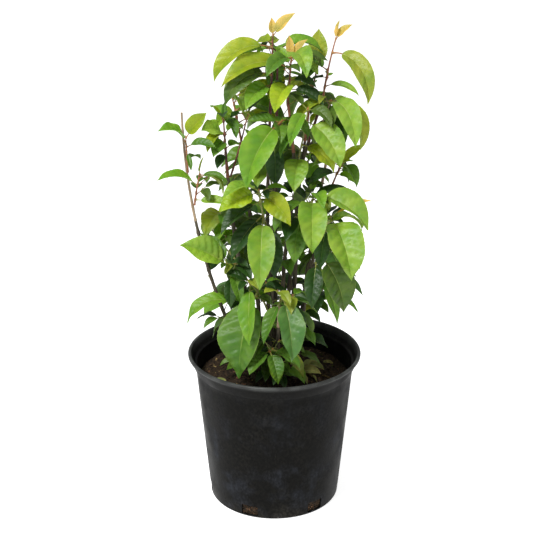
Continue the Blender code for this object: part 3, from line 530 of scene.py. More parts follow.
# %% Tests that keep a leaf clear of its neighbours
CLEARANCE = 0.45
FIRST_BLADE_CORNER = 8
MIX_MARGIN = 2.0
RIM_MARGIN = 1.0
WALL_MARGIN = 6.0
CROWN_MIDDLE = (8.0, 6.0)
CROWN_REACH = (116.0, 122.0)
SHOULDER = 480.0
SHOULDER_TAPER = 0.0022
CROWN_TOP = 655.0


def tree_of_skin(skin):
    return BVHTree.FromPolygons(*skin)


def tree_of_node(name):
    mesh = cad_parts[name].data
    return BVHTree.FromPolygons([vertex.co / MM for vertex in mesh.vertices],
                                [tuple(face.vertices) for face in mesh.polygons])


def touches(skin, others):
    tree = tree_of_skin(skin)
    return any(tree.overlap(other) for other in others)


def outer_blade(skin):
    """A leaf's skin beyond its first blade station, to test against its neighbours on the twig."""
    verts, faces = skin
    return verts, [face for face in faces if min(face) >= FIRST_BLADE_CORNER]


def meets_the_pot(skin):
    """Whether a leaf sinks into the potting mix, or droops through the pot's wall or rim."""
    for x, y, z in skin[0]:
        if z < SOIL_LEVEL + MIX_MARGIN:
            return True
        if z < POT_HEIGHT + RIM_MARGIN and math.hypot(x, y) > COLLAR_RADIUS - WALL_MARGIN:
            return True
    return False


def leaves_the_crown(skin):
    for x, y, z in skin[0]:
        narrow = 1.0 - max(0.0, z - SHOULDER) * SHOULDER_TAPER
        across = (x - CROWN_MIDDLE[0]) / CROWN_REACH[0]
        deep = (y - CROWN_MIDDLE[1]) / CROWN_REACH[1]
        if math.hypot(across, deep) > narrow or z > CROWN_TOP:
            return True
    return False


# %% [markdown]
# ## Growing the shoots
# Twigs come first, then the planned leaves, then leaves in opposite pairs by a seeded rule. A leaf that
# would touch another tries a few other headings before it is left out. The same rule then carries on to
# finer twigs: short side twigs in the leaves' corners, each with a pair of small young leaves.

# %% Where each limb and twig starts
FLARE_HEIGHT = 5.0
limb_arcs = {}


def place_on(limb_arc, at):
    *line, foot, tip = limb_arc
    points, ways = arc(*line, [at])
    return points[0], ways[0], foot + (tip - foot) * at


def start_clear_of(limb_arc, at, turn, rise, thick):
    """Where a twig or bough starts: a hair beyond a limb's tip, or a hair off its side."""
    point, way, radius = place_on(limb_arc, at)
    out = way_of(turn, rise)

    def lean_from(line):
        return math.sqrt(max(0.0, 1.0 - float(np.dot(out, line)) ** 2))

    if at >= 1.0:
        return point + way * (GAP + thick * lean_from(way))
    level = out - way * float(np.dot(out, way))
    level /= np.linalg.norm(level)
    return point + level * (radius + GAP + thick * lean_from(level))


for name, cane in CANES.items():
    crown = np.array([cane.x, cane.y, SOIL_LEVEL + GAP + FLARE_HEIGHT])
    limb_arcs[name] = (*line_of(crown, cane), cane.foot, cane.tip)
for name, bough in BOUGHS.items():
    start = start_clear_of(limb_arcs[bough.on], bough.at, bough.turn, bough.rise, bough.foot)
    limb_arcs[name] = (*line_of(start, bough), bough.foot, bough.tip)
print(len(limb_arcs), "limbs have a place")

# %% Grow the leaves
DODGES = ((0, 0), (8, 0), (-8, 0), (0, 10), (0, -10), (16, 5), (-16, 5), (14, -12), (-14, -12), (24, 0),
          (-24, 0), (8, 20), (-8, 20), (30, 10), (-30, 10))
PAIR_START = 0.3
PAIR_WOBBLE = 14.0
RULED_LENGTH = (0.86, 1.1)
RULED_RISE = (20.0, 52.0)
LOWER_RISE = 16.0
RULED_SAG = (78.0, 118.0)
RULED_FACE = (-15.0, 25.0)
SMALLER = 0.72
TWIG_END = 0.98
# Colour decks by height: the deep and mossy colours dealt low in the shrub are painted shade
TONE_DECKS = ((480, "mbbylvg"), (340, "mgbvdgl"), (0, "ddgmgbt"))

Growth = namedtuple("Growth", "line guards blades leaves")
Grown = namedtuple("Grown", "root leaf")
limb_trees = {name: tree_of_node(name) for name in limb_arcs}
grown = {}


def leaf_total():
    return sum(len(growth.leaves) for growth in grown.values())


def guards_beside(name):
    return [guard for other, growth in grown.items() if other != name for guard in growth.guards]


def is_clear(skin, neighbours, others, in_crown=True):
    """Whether a leaf stays in the crown and off the pot, the limbs, other twigs and its own neighbours."""
    if meets_the_pot(skin) or (in_crown and leaves_the_crown(skin)):
        return False
    return not (touches(skin, [*limb_trees.values(), *others]) or touches(outer_blade(skin), neighbours))


def keep_leaf(own, root, leaf, skin):
    own.leaves.append(Grown(root, leaf))
    own.guards.append(tree_of_skin(skin))
    own.blades.append(tree_of_skin(outer_blade(skin)))


def place_leaf(leaf, name, planned):
    """Keep a leaf at the first heading and rise that clear everything round it."""
    own = grown[name]
    root = point_on(own.line, min(leaf.at, TWIG_END))
    others = guards_beside(name)
    second_try = ([], leaf.length) if planned else (own.blades, leaf.length * SMALLER)
    for neighbours, length in ((own.blades, leaf.length), second_try):
        for turn, rise in DODGES:
            tried = leaf._replace(turn=leaf.turn + turn, rise=leaf.rise + rise, length=length)
            skin = leaf_skin(root, tried, CLEARANCE)
            if is_clear(skin, neighbours, others, in_crown=not planned):
                keep_leaf(own, root, tried, skin)
                return


def ruled_leaves(shoot, chance, tones):
    """Opposite pairs up a twig, each pair crossing the last."""
    first_turn = chance.uniform(0, 180)
    for pair in range(shoot.pairs):
        at = PAIR_START + (1.0 - PAIR_START) * (pair + 1) / shoot.pairs
        for side in (0, 180):
            turn = first_turn + 90 * pair + side + chance.uniform(-PAIR_WOBBLE, PAIR_WOBBLE)
            length = shoot.leaf_length * chance.uniform(*RULED_LENGTH)
            rise = chance.uniform(*RULED_RISE) - LOWER_RISE * (1 - at)
            sag = chance.uniform(*RULED_SAG)
            yield Leaf(at, turn, rise, length, sag, chance.uniform(*RULED_FACE), 1.0, next(tones))


def dealt_tones(seed, height):
    """An endless deal of leaf colours: darker low in the shrub, as painted shade, and lighter towards its
    top.
    """
    deal = chance_for("tones", seed)
    deck = next(letters for above, letters in TONE_DECKS if height > above)
    while True:
        yield deal.choice(deck)


for name, shoot in SHOOTS.items():
    start = start_clear_of(limb_arcs[shoot.on], shoot.at, shoot.turn, shoot.rise, shoot.thick)
    line = line_of(start, shoot)
    grown[name] = Growth(line, [tree_of_skin(twig_skin(line, shoot.thick, CLEARANCE))], [], [])
for name, leaves in PLAN.items():
    for leaf in leaves:
        place_leaf(leaf, name, planned=True)
for seed, (name, shoot) in enumerate(SHOOTS.items()):
    tones = dealt_tones(seed, grown[name].line[0][2])
    for leaf in ruled_leaves(shoot, chance_for("pairs", seed), tones):
        place_leaf(leaf, name, planned=False)
print(leaf_total(), "leaves found a place")

# %% Finer twigs with young leaves
Young = namedtuple("Young", "sites twig_length leaf_length turns tones")
# The young leaves inside the shrub, behind it and at its foot are dealt mostly deep colours as painted
# shade
ON_SHOOTS = Young((0.3, 0.62, 0.9), (7.0, 20.0), (20.0, 44.0), (0, 360), "dggbv")
ON_CANES = Young((0.16, 0.27, 0.38, 0.49, 0.6, 0.71), (8.0, 26.0), (34.0, 66.0), (0, 360), "ddgdgm")
BEHIND = Young((0.2, 0.3, 0.41, 0.52, 0.63, 0.74, 0.85), (18.0, 44.0), (50.0, 82.0), (10, 170), "ddgmmgb")
AT_FOOT = Young((0.04, 0.1, 0.17, 0.24, 0.31), (6.0, 16.0), (26.0, 44.0), (225, 325), "mgbdmdg")
YOUNG_TWIG_RADIUS = 0.6
YOUNG_TWIG_RISE = (25, 60)
YOUNG_TWIG_SAG = (-10, 10)
YOUNG_SPREADS = (75, -75, 0)
YOUNG_WOBBLE = (-20, 20)
YOUNG_RISE = (10, 45)
YOUNG_SAG = (40, 90)
YOUNG_FACE = (0, 25)
TRIES = 7

fine_twigs = []


def grow_young(name, site, radius, chance, young):
    """A short side twig, in a leaf's corner or off a cane, with a pair of leaves and an end leaf."""
    own, draw = grown[name], chance.uniform
    turn, rise = draw(*young.turns), draw(*YOUNG_TWIG_RISE)
    root = point_on(own.line, site) + way_of(turn, 0) * radius
    line = (root, turn, rise, draw(*young.twig_length), draw(*YOUNG_TWIG_SAG))
    skin = twig_skin(line, YOUNG_TWIG_RADIUS, CLEARANCE)
    limbs = [tree for limb, tree in limb_trees.items() if limb != name]
    others = guards_beside(name)
    if meets_the_pot(skin) or touches(skin, limbs + others + own.blades):
        return False
    before = len(own.leaves)
    tip = point_on(line, TWIG_END)
    for spread in YOUNG_SPREADS:
        leaf = Leaf(1.0, turn + spread + draw(*YOUNG_WOBBLE), draw(*YOUNG_RISE), draw(*young.leaf_length),
                    draw(*YOUNG_SAG), draw(*YOUNG_FACE), 1.0, chance.choice(young.tones))
        skin = leaf_skin(tip, leaf, CLEARANCE)
        if is_clear(skin, own.blades, others):
            keep_leaf(own, tip, leaf, skin)
    if len(own.leaves) > before:
        fine_twigs.append((line, SHOOTS[name].wood if name in SHOOTS else "green"))
    return len(own.leaves) > before


for seed, name in enumerate(SHOOTS):
    chance = chance_for("young", seed)
    for site in ON_SHOOTS.sites:
        grow_young(name, site, 0.0, chance, ON_SHOOTS)
for seed, (name, cane) in enumerate(CANES.items()):
    chance = chance_for("cane", seed)
    grown[name] = Growth(limb_arcs[name][:5], [], [], [])
    for site in ON_CANES.sites:
        grow_young(name, site, cane.tip, chance, ON_CANES)
for seed, (name, cane) in enumerate(CANES.items()):
    chance = chance_for("cane_again", seed)
    young = BEHIND if cane.y > 0 else AT_FOOT
    for site in young.sites:  # any() stops at the first try that finds a place
        any(grow_young(name, site, cane.foot, chance, young) for _ in range(TRIES))
print(len(fine_twigs), "finer twigs;", leaf_total(), "leaves in all")

# %% [markdown]
# ## Many small shapes as one mesh
# Hundreds of leaves are far quicker to make as arrays than one at a time. A heap gathers the corners and
# triangles of many shapes and becomes one object at the end, with the place of everything in its mesh.

# %% The heap
SMOOTH_BELOW = math.radians(62.0)


class Heap:
    def __init__(self):
        self.points, self.faces, self.kinds, self.size = [], [], [], 0

    def add(self, points, faces, kinds=None):
        self.points.append(points)
        self.faces.append(faces + self.size)
        self.kinds.append(np.zeros(len(faces), int) if kinds is None else kinds)
        self.size += len(points)

    def piece(self, name, finishes, slot, nodes=(), smooth=SMOOTH_BELOW):
        """The heap as one object that rides on the plant's body and stands for the named nodes."""
        points, faces, kinds = (np.concatenate(parts) for parts in (self.points, self.faces, self.kinds))
        mesh = bpy.data.meshes.new(name)
        mesh.vertices.add(len(points))
        mesh.vertices.foreach_set("co", (points * MM).astype(np.float32).ravel())
        mesh.loops.add(3 * len(faces))
        mesh.loops.foreach_set("vertex_index", faces.astype(np.int32).ravel())
        mesh.polygons.add(len(faces))
        mesh.polygons.foreach_set("loop_start", np.arange(0, 3 * len(faces), 3, dtype=np.int32))
        mesh.polygons.foreach_set("material_index", kinds.astype(np.int32))
        mesh.update(calc_edges=True)
        mesh.shade_smooth()
        mesh.set_sharp_from_angle(angle=smooth)
        for finish in finishes:
            mesh.materials.append(finish.material)
        thing = bpy.data.objects.new(name, mesh)
        scene.collection.objects.link(thing)
        settle(thing, nodes)
        print(f"{name}: {len(faces)} triangles")


def settle(thing, nodes=()):
    """Every finished piece rides on the one body, and the nodes of the frame that it stands for are
    hidden.
    """
    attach(thing, "root")
    if nodes:
        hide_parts(*nodes)


def tube(points, radii, sides):
    """A round tube of rings along points, closed at both ends by a fan round a middle point."""
    points, radii = np.asarray(points, float), np.asarray(radii, float)
    ways = np.gradient(points, axis=0)
    ways /= np.linalg.norm(ways, axis=1)[:, None]
    start = np.cross(ways[0], (0.0, 1.0, 0.0) if abs(ways[0][1]) < 0.9 else (1.0, 0.0, 0.0))
    across = [start / np.linalg.norm(start)]
    for way in ways[1:]:
        turned = across[-1] - way * np.dot(across[-1], way)
        across.append(turned / np.linalg.norm(turned))
    across = np.array(across)
    over = np.cross(ways, across)
    angles = FULL_TURN * np.arange(sides) / sides
    radii = radii if radii.ndim == 2 else radii[:, None] * np.ones(sides)
    rings = (points[:, None] + radii[:, :, None] * (np.cos(angles)[None, :, None] * across[:, None]
                                                   + np.sin(angles)[None, :, None] * over[:, None]))
    rows = len(points)
    corners = np.concatenate([rings.reshape(-1, 3), points[:1], points[-1:]])
    row, k = np.meshgrid(np.arange(rows - 1), np.arange(sides), indexing="ij")
    a, b = (row * sides + k).ravel(), (row * sides + (k + 1) % sides).ravel()
    c, d = b + sides, a + sides
    ring = np.arange(sides)
    after, last, foot = (ring + 1) % sides, (rows - 1) * sides, rows * sides
    faces = np.concatenate([
        np.stack([a, b, c], 1), np.stack([a, c, d], 1),
        np.stack([np.full(sides, foot), after, ring], 1),
        np.stack([np.full(sides, foot + 1), last + ring, last + after], 1)])
    return corners, faces


# %% [markdown]
# ## One leaf
# A nannyberry leaf is egg-shaped with a drawn-out tip and a finely toothed edge. The blade rises in a
# shallow fold on both sides of the sunken midrib, bulges between the side veins, and its edge waves a
# little. Rows of points are laid along the midrib's arc and across it. A second, paler sheet closes the
# blade from below and meets the upper one along the edge, so a leaf is a thin closed shell.

# %% The leaf's outline and its faces
ROWS = 48
SHORT_ROWS = 22
ACROSS = np.array([-1.0, -0.965, -0.76, -0.5, -0.24, -0.025, 0.0, 0.025, 0.24, 0.5, 0.76, 0.965, 1.0])
MIDRIB_COLUMN = len(ACROSS) // 2
OUTLINE_AT = (0.0, 0.02, 0.06, 0.13, 0.24, 0.38, 0.5, 0.62, 0.74, 0.84, 0.91, 0.96, 1.0)
OUTLINE_WIDE = (0.0, 0.24, 0.5, 0.74, 0.93, 1.0, 0.96, 0.84, 0.62, 0.37, 0.18, 0.075, 0.0)
# The third kind is the pale midrib and the pale edge; the edge's paleness is partly a painted highlight
UPPER, LOWER, PALE_RIB_AND_EDGE_HIGHLIGHT = 0, 1, 2


def leaf_faces(rows):
    """Triangles of a closed leaf and the kind of each: upper face, lower face, or pale midrib and edge.
    The pale edge is partly the leaf's fine pale teeth and partly a painted highlight where the thin edge
    catches light.
    """
    columns = len(ACROSS)
    upper = 2 + np.arange(rows * columns).reshape(rows, columns)
    lower = upper.copy()
    lower[:, 1:-1] = 2 + rows * columns + np.arange(rows * (columns - 2)).reshape(rows, columns - 2)
    faces, kinds = [], []
    for sheet, kind, flip in ((upper, UPPER, False), (lower, LOWER, True)):
        for column in range(columns - 1):
            a, b = sheet[:-1, column], sheet[:-1, column + 1]
            d, c = sheet[1:, column], sheet[1:, column + 1]
            parts = [np.stack([a, b, c], 1), np.stack([a, c, d], 1),
                     np.array([[0, sheet[0, column + 1], sheet[0, column]]]),
                     np.array([[1, sheet[-1, column], sheet[-1, column + 1]]])]
            strip = np.concatenate(parts)
            faces.append(strip[:, ::-1] if flip else strip)
            # The outermost strip on each side is painted pale: partly the fine pale teeth, partly a
            # painted highlight where the thin edge catches light
            pale = column in (0, columns - 2, MIDRIB_COLUMN - 1, MIDRIB_COLUMN) and kind == UPPER
            kinds.append(np.full(len(strip), PALE_RIB_AND_EDGE_HIGHLIGHT if pale else kind))
    return np.concatenate(faces), np.concatenate(kinds)


LEAF_FACES = {rows: leaf_faces(rows) for rows in (ROWS, SHORT_ROWS)}
print("a full leaf has", len(LEAF_FACES[ROWS][0]), "triangles")

# %% The leaf's surface
TEETH = 18
TOOTH = 0.035
VEINS = 6.5
VEIN_LEAN = 1.3
PUFF = 0.12
ARCH = (0.06, 0.2)
WAVE = (0.04, 0.12)
TWIST = 0.3
SWAY = 9.0
SHEET = 0.4
TOOTH_REACH = 12
ROW_CROWDING = 1.08
FOLD_SHARE = (1.0, 1.65)
WAVE_COUNT = (1.4, 2.6)
PUFF_SHARPNESS = 0.8


def fine_leaf(root, leaf, chance, rows):
    """Corners of one detailed leaf, and the points of its midrib for the rib below and the stalk."""
    share = ((np.arange(rows) + 0.7) / (rows + 0.2)) ** ROW_CROWDING
    outline = np.interp(share, OUTLINE_AT, OUTLINE_WIDE)
    along = PETIOLE_SHARE + (1 - PETIOLE_SHARE) * np.concatenate([[0.0], share, [1.0]])
    points, ways = arc(*line_of(root, leaf), along)
    sides, normals = blade_axes(leaf, ways, chance.uniform(-TWIST, TWIST) * along ** 2)
    half = 0.5 * FINE_RATIO * leaf.wide * leaf.length * (1 - PETIOLE_SHARE)
    sway = math.sin(math.radians(chance.uniform(-SWAY, SWAY)))
    points = points + sides * (sway * half * along ** 3)[:, None]
    ends = points[[0, -1]]
    points, sides, normals = points[1:-1], sides[1:-1], normals[1:-1]

    tooth = (share * TEETH) % 1.0 - 0.5
    spread = half * outline[:, None] * (1 + TOOTH * tooth[:, None] * np.abs(ACROSS) ** TOOTH_REACH)
    from_rib = np.abs(ACROSS)[None, :]
    fold, arch = BLADE_FOLD * chance.uniform(*FOLD_SHARE), chance.uniform(*ARCH)
    vein = share[:, None] * VEINS - VEIN_LEAN * from_rib ** 1.3 * outline[:, None] + chance.uniform(0, 1)
    puff = np.abs(np.sin(np.pi * vein)) ** PUFF_SHARPNESS - 0.5
    puff = puff * np.minimum(1.0, 4 * from_rib) * (1 - from_rib ** 6) * (1 - share[:, None] ** 4)
    wave = np.sin(FULL_TURN * (share * chance.uniform(*WAVE_COUNT) + chance.random()))
    lean = np.where(ACROSS > 0, 1.0, chance.uniform(-1.0, 1.0))[None, :]
    lift = spread * (math.sin(fold) * from_rib - arch * from_rib ** 2)
    lift = lift + half * PUFF * puff + half * chance.uniform(*WAVE) * wave[:, None] * lean * from_rib ** 2
    upper = (points[:, None] + sides[:, None] * (spread * math.cos(fold) * ACROSS)[:, :, None]
             + normals[:, None] * lift[:, :, None])
    depth = SHEET * (1 - ACROSS ** 4)[None, :, None] * np.minimum(1.0, outline * 3)[:, None, None]
    lower = (upper - normals[:, None] * depth)[:, 1:-1]
    return np.concatenate([ends, upper.reshape(-1, 3), lower.reshape(-1, 3)]), points, normals


# %% [markdown]
# ## Leaf finishes
# A leaf lets some light through, which makes young leaves glow yellow-green. Each finish mixes a slightly
# glossy surface with a translucent one by a fixed share. The colour drifts in soft patches, and a fine
# net of veinlets roughens the surface. The ten colours are dealt out leaf by leaf, so each is a piece of
# its own.

# %% Make the leaf finishes
LEAF_TONES = {
    "w": ("vivid", (142, 170, 40)), "y": ("yellow_green", (134, 156, 36)), "l": ("light", (124, 160, 58)),
    "b": ("bright", (108, 152, 44)), "m": ("mid", (86, 128, 40)), "g": ("mossy", (76, 106, 38)),
    "t": ("blue_green", (84, 126, 62)), "d": ("deep", (44, 78, 28)), "v": ("olive", (130, 150, 52)),
    "o": ("bronze", (186, 170, 96)),
}
GLOW = 0.42
DULL_GLOW = 0.25
DARK_PATCH, PALE_PATCH, LIT = (0.86, 0.92, 0.9), (1.18, 1.07, 1.12), (1.35, 1.3, 1.1)
LIT_BY = (20, 10, 0)
VEINLETS = 520.0


def scaled(colour, by, plus=(0, 0, 0)):
    return paint(*(value * share + more for value, share, more in zip(colour, by, plus)))


def mixed_with(colour, pale, share):
    return tuple((1 - share) * value + share * other for value, other in zip(colour, pale))


def leaf_finish(name, colour, rough, glow):
    finish = Finish(name, Roughness=rough, Specular_IOR_Level=0.42)
    drift = finish.ramp(finish.grain(52.0, 7.0), (0.34, 0.0), (0.66, 1.0))
    finish.set(Base_Color=finish.blend(drift, scaled(colour, DARK_PATCH), scaled(colour, PALE_PATCH)))
    net = finish.node("ShaderNodeTexVoronoi", {"feature": "DISTANCE_TO_EDGE"},
                      {"Vector": finish.place, "Scale": VEINLETS})
    finish.relief(finish.ramp(net, (0.0, 0.0), (0.12, 1.0)), 0.00012, 0.5)
    glowing = finish.node("ShaderNodeBsdfTranslucent", None, {"Color": scaled(colour, LIT, LIT_BY)})
    surface = Wire(finish, finish.shader.outputs[0])
    mixed = finish.node("ShaderNodeMixShader", None, {0: glow, 1: surface, 2: glowing})
    finish.tree.links.new(mixed.socket, finish.tree.nodes["Material Output"].inputs["Surface"])
    return finish


def leaf_finishes(tone):
    """The upper face, the paler, greyer and duller lower face, and the midrib with the edge, whose pale
    colour there is partly a painted highlight.
    """
    name, colour = LEAF_TONES[tone]
    return [leaf_finish("leaf_" + name, colour, 0.4, GLOW),
            leaf_finish("leaf_under_" + name, mixed_with(colour, (168, 190, 140), 0.28), 0.62, GLOW),
            leaf_finish("leaf_rib_" + name, mixed_with(colour, (205, 210, 120), 0.2), 0.45, GLOW)]


# %% Build the leaves, their stalks and the ribs under them
SMALL_LEAF = 46.0
USUAL_LEAF = 80.0
LARGEST_SCALE = 1.2
RIB_RADIUS = (0.75, 0.15)
RIB_SIDES, RIB_EVERY, RIB_UNDER = 5, 4, 0.8
STALK_SIDES = 8
STALK_THICKNESS = (0.45, 0.5)
STALK_REACH = PETIOLE_SHARE * 1.12
STALK_SHAPE = np.array([1.7, 1.35, 1.1, 0.95, 0.85, 0.82, 0.8, 0.5])
RED_STALKS_ABOVE = 470.0
foliage_nodes = [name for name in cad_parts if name.startswith("leaves_")]
leaf_heaps = {tone: Heap() for tone in LEAF_TONES}
leaf_homes = {tone: set() for tone in LEAF_TONES}
rib_heap = Heap()
stalk_heaps = {"green": Heap(), "red": Heap()}

all_leaves = [(name, root, leaf) for name, growth in grown.items() for root, leaf in growth.leaves]
for count, (name, root, leaf) in enumerate(all_leaves, 1):
    rows = SHORT_ROWS if leaf.length < SMALL_LEAF or name in CANES else ROWS
    corners, midrib, normals = fine_leaf(root, leaf, chance_for("leaf", count), rows)
    leaf_heaps[leaf.tone].add(corners, *LEAF_FACES[rows])
    leaf_homes[leaf.tone].add(name)
    scale = min(LARGEST_SCALE, leaf.length / USUAL_LEAF)
    below = (midrib - normals * (SHEET * RIB_UNDER))[::RIB_EVERY]
    rib_heap.add(*tube(below, np.linspace(*RIB_RADIUS, len(below)) * scale, RIB_SIDES))
    stalk, _ = arc(*line_of(root, leaf), np.linspace(0, STALK_REACH, len(STALK_SHAPE)))
    red = name in SHOOTS and SHOOTS[name].wood in ("red", "maroon") and root[2] > RED_STALKS_ABOVE
    thickness = STALK_THICKNESS[0] + STALK_THICKNESS[1] * scale
    stalk_heaps["red" if red else "green"].add(*tube(stalk, STALK_SHAPE * thickness, STALK_SIDES))

# Mid green stands in for every shoot, and each other colour for the shoots where it grows
for tone, heap in leaf_heaps.items():
    if heap.size:
        heap.piece("foliage_" + LEAF_TONES[tone][0], leaf_finishes(tone), "foliage",
                   foliage_nodes if tone == "m" else sorted(leaf_homes[tone] & set(foliage_nodes)))

# %% [markdown]
# ## Wood and stalks
# Young nannyberry wood is smooth and reddish, and turns grey-brown and finely ridged with age. The change
# falls on a ring scar, where one year's growth ended, so old and young bark are separate lengths of each
# cane, with a swollen ring where they meet. The ridges, scars and breathing pores are real relief on the
# tube.

# %% Make the wood finishes
def wood_finish(name, dark, light, rough, relief):
    finish = Finish(name, Roughness=rough, Specular_IOR_Level=0.35)
    streak = finish.ramp(finish.grain(160.0, 4.0, (1.0, 1.0, 0.22)), (0.32, 0.0), (0.68, 1.0))
    finish.set(Base_Color=finish.blend(streak, paint(*dark), paint(*light)))
    finish.relief(finish.grain(900.0, 2.0, (1.0, 1.0, 0.35)), relief)
    return finish


WOODS = {
    "old": wood_finish("bark_old", (48, 43, 34), (92, 84, 66), 0.85, 0.0005),
    "tan": wood_finish("bark_tan", (112, 92, 70), (158, 138, 112), 0.65, 0.0002),
    "red": wood_finish("bark_red", (104, 58, 42), (148, 96, 66), 0.5, 0.00015),
    "maroon": wood_finish("bark_maroon", (66, 34, 32), (108, 62, 50), 0.5, 0.00015),
    "green": wood_finish("bark_green", (96, 104, 52), (138, 142, 78), 0.5, 0.00015),
}
CUT_WOOD = wood_finish("cut_wood", (150, 124, 92), (190, 166, 128), 0.8, 0.0002)

# %% Canes and boughs with bark relief
BARK_SIDES = 24
BARK_STEP = 2.0
FEWEST_ROWS = 6
BOUGH_ROOT = -0.02
BELOW_SOIL = 3.0
FLARE, FLARE_REACH = 1.5, 14.0 / 1.8
RING_SCAR = 1.16
SAWN_END = 1
# Ridges: how deep on old and on young bark, and the waves of each round the limb and along it
OLD_RIDGE, YOUNG_RIDGE = 0.075, 0.025
RIDGE_WAVES = ((3, 31.0), (5, 23.0), (8, 14.0), (11, 9.0))
RIDGE_SWAY = (0.5, 1.4)
# Pores: how many for each millimetre, and the height, length and width of one
OLD_PORES, YOUNG_PORES = 0.35, 0.16
PORE, PORE_LONG, PORE_WIDE = 0.13, 1.6, 0.3
# Rings, and the pair of leaf scars just above each
FIRST_RING, RING_EVERY, LAST_RING = (12, 30), (34.0, 58.0), 4
RING_SWELL, RING_REACH = 0.16, 2.6
SCAR_SWELL, SCAR_ABOVE, SCAR_WIDE = 2 * RING_SWELL, 2.0, 0.45


def swelling(*offsets):
    """1 in the middle and fading to 0, with each offset in units of the swelling's reach."""
    return np.exp(-sum(offset ** 2 for offset in offsets))


def off_angle(around, angle, sides=1):
    """How far round the limb each corner stands from an angle, or from the nearest of some."""
    return np.angle(np.exp(sides * 1j * (around - angle))) / sides


def bark_relief(radius, lengths, wood, chance):
    """Radii of a limb's rings round the limb: ridges along it, raised pores and swollen rings."""
    around = FULL_TURN * np.arange(BARK_SIDES) / BARK_SIDES
    depth, pores = (OLD_RIDGE, OLD_PORES) if wood == "old" else (YOUNG_RIDGE, YOUNG_PORES)
    at = lengths[:, None]
    relief = np.zeros((len(lengths), BARK_SIDES))
    for lobes, drift in RIDGE_WAVES:
        phase, sway = chance.uniform(*ANY_TURN), chance.uniform(*RIDGE_SWAY)
        relief += depth / 2 * np.sin(lobes * around + phase + sway * np.sin(at / drift + phase))
    for _ in range(int((lengths[-1] - lengths[0]) * pores)):
        spot, angle = chance.uniform(lengths[0], lengths[-1]), chance.uniform(0, FULL_TURN)
        relief += PORE * swelling((at - spot) / PORE_LONG, off_angle(around, angle) / PORE_WIDE)
    ring = lengths[0] + chance.uniform(*FIRST_RING)
    while ring < lengths[-1] - LAST_RING:
        relief += RING_SWELL * swelling((at - ring) / RING_REACH)
        off = off_angle(around, chance.uniform(*ANY_HALF_TURN), sides=2)
        relief += SCAR_SWELL * swelling((at - ring - SCAR_ABOVE) / RING_REACH, off / SCAR_WIDE)
        ring += chance.uniform(*RING_EVERY)
    return radius[:, None] * (1 + relief)


def limb_length(limb_arc, low, high, wood, chance):
    """One length of bark along a limb, from share low to share high of it."""
    *line, foot, tip = limb_arc
    length = line[3]
    shares = np.linspace(low, high, max(FEWEST_ROWS, int(length * (high - low) / BARK_STEP)))
    points, _ = arc(*line, shares)
    return points, bark_relief(foot + (tip - foot) * shares, shares * length, wood, chance)


bark_heaps = {wood: Heap() for wood in WOODS}
bark_homes = {wood: [] for wood in WOODS}
for number, (name, cane) in enumerate(CANES.items()):
    chance = chance_for("bark", number)
    points, radii = limb_length(limb_arcs[name], 0.0, cane.old, "old", chance)
    below = np.array([[cane.x, cane.y, SOIL_LEVEL - BELOW_SOIL], [cane.x, cane.y, SOIL_LEVEL + GAP]])
    points = np.vstack([below, points])
    radii = np.vstack([radii[:1], radii[:1], radii])
    above_mix = np.maximum(0, points[:, 2] - SOIL_LEVEL)
    radii *= (1 + (FLARE - 1) * np.exp(-above_mix / FLARE_REACH))[:, None]
    bark_heaps["old"].add(*tube(points, radii, BARK_SIDES))
    bark_homes["old"].append(name)
    points, radii = limb_length(limb_arcs[name], cane.old, 1.0, cane.young, chance)
    radii[:2] *= RING_SCAR
    corners, faces = tube(points, radii, BARK_SIDES)
    kinds = np.zeros(len(faces), int)
    if name == "cane_cut":
        kinds[-BARK_SIDES:] = SAWN_END
    bark_heaps[cane.young].add(corners, faces, kinds)
for number, name in enumerate(BOUGHS):
    wood = "maroon" if name == "bough_left" else "old"
    points, radii = limb_length(limb_arcs[name], BOUGH_ROOT, 1.0, "old", chance_for("bough", number))
    bark_heaps[wood].add(*tube(points, radii, BARK_SIDES))
    bark_homes[wood].append(name)

# %% Twigs and buds
TWIG_ROWS = 30
TWIG_ROOT = 1.2
ROUND_SIDES = 10
NODE_SWELL, NODE_REACH = 0.45, 1.8
FOOT_SWELL = 1.25
BUD_SIDES = 8
BUDS_ON_TWIG = 8
END_BUD, END_BUD_SHARE = 5.0, 0.75
SIDE_BUD, SIDE_BUD_RADIUS = 3.2, 0.75
BUD_OFF_TWIG, BUD_LIFT, STEEPEST_BUD = 0.6, 35, 85
YOUNG_TWIG_SHAPE = np.linspace(FOOT_SWELL, 0.7, 8)
BUD_SHAPE = (0.55, 0.95, 1.0, 0.8, 0.45, 0.08)
bud_heap = Heap()


def add_bud(point, way, thick, length):
    steps = np.linspace(0, 1, len(BUD_SHAPE))[:, None]
    bud_heap.add(*tube(point + steps * length * way, thick * np.array(BUD_SHAPE), BUD_SIDES))


for name, shoot in SHOOTS.items():
    growth = grown[name]
    shares = np.linspace(0, 1, TWIG_ROWS)
    points, ways = arc(*growth.line, shares)
    radii = shoot.thick * (1 - TWIG_THINNING * shares)
    for root, leaf in growth.leaves:
        if leaf.at < 1.0:
            radii = radii * (1 + NODE_SWELL * swelling((shares - leaf.at) * shoot.length / NODE_REACH))
    base = points[0] - ways[0] * (GAP + TWIG_ROOT)
    radii = np.concatenate([[shoot.thick * FOOT_SWELL], radii])
    bark_heaps[shoot.wood].add(*tube(np.vstack([base, points]), radii, ROUND_SIDES))
    add_bud(points[-1] - ways[-1], ways[-1], shoot.thick * END_BUD_SHARE, END_BUD)
    for root, leaf in growth.leaves[:BUDS_ON_TWIG]:
        out = way_of(leaf.turn, min(leaf.rise + BUD_LIFT, STEEPEST_BUD))
        add_bud(root + out * shoot.thick * BUD_OFF_TWIG, out, SIDE_BUD_RADIUS, SIDE_BUD)
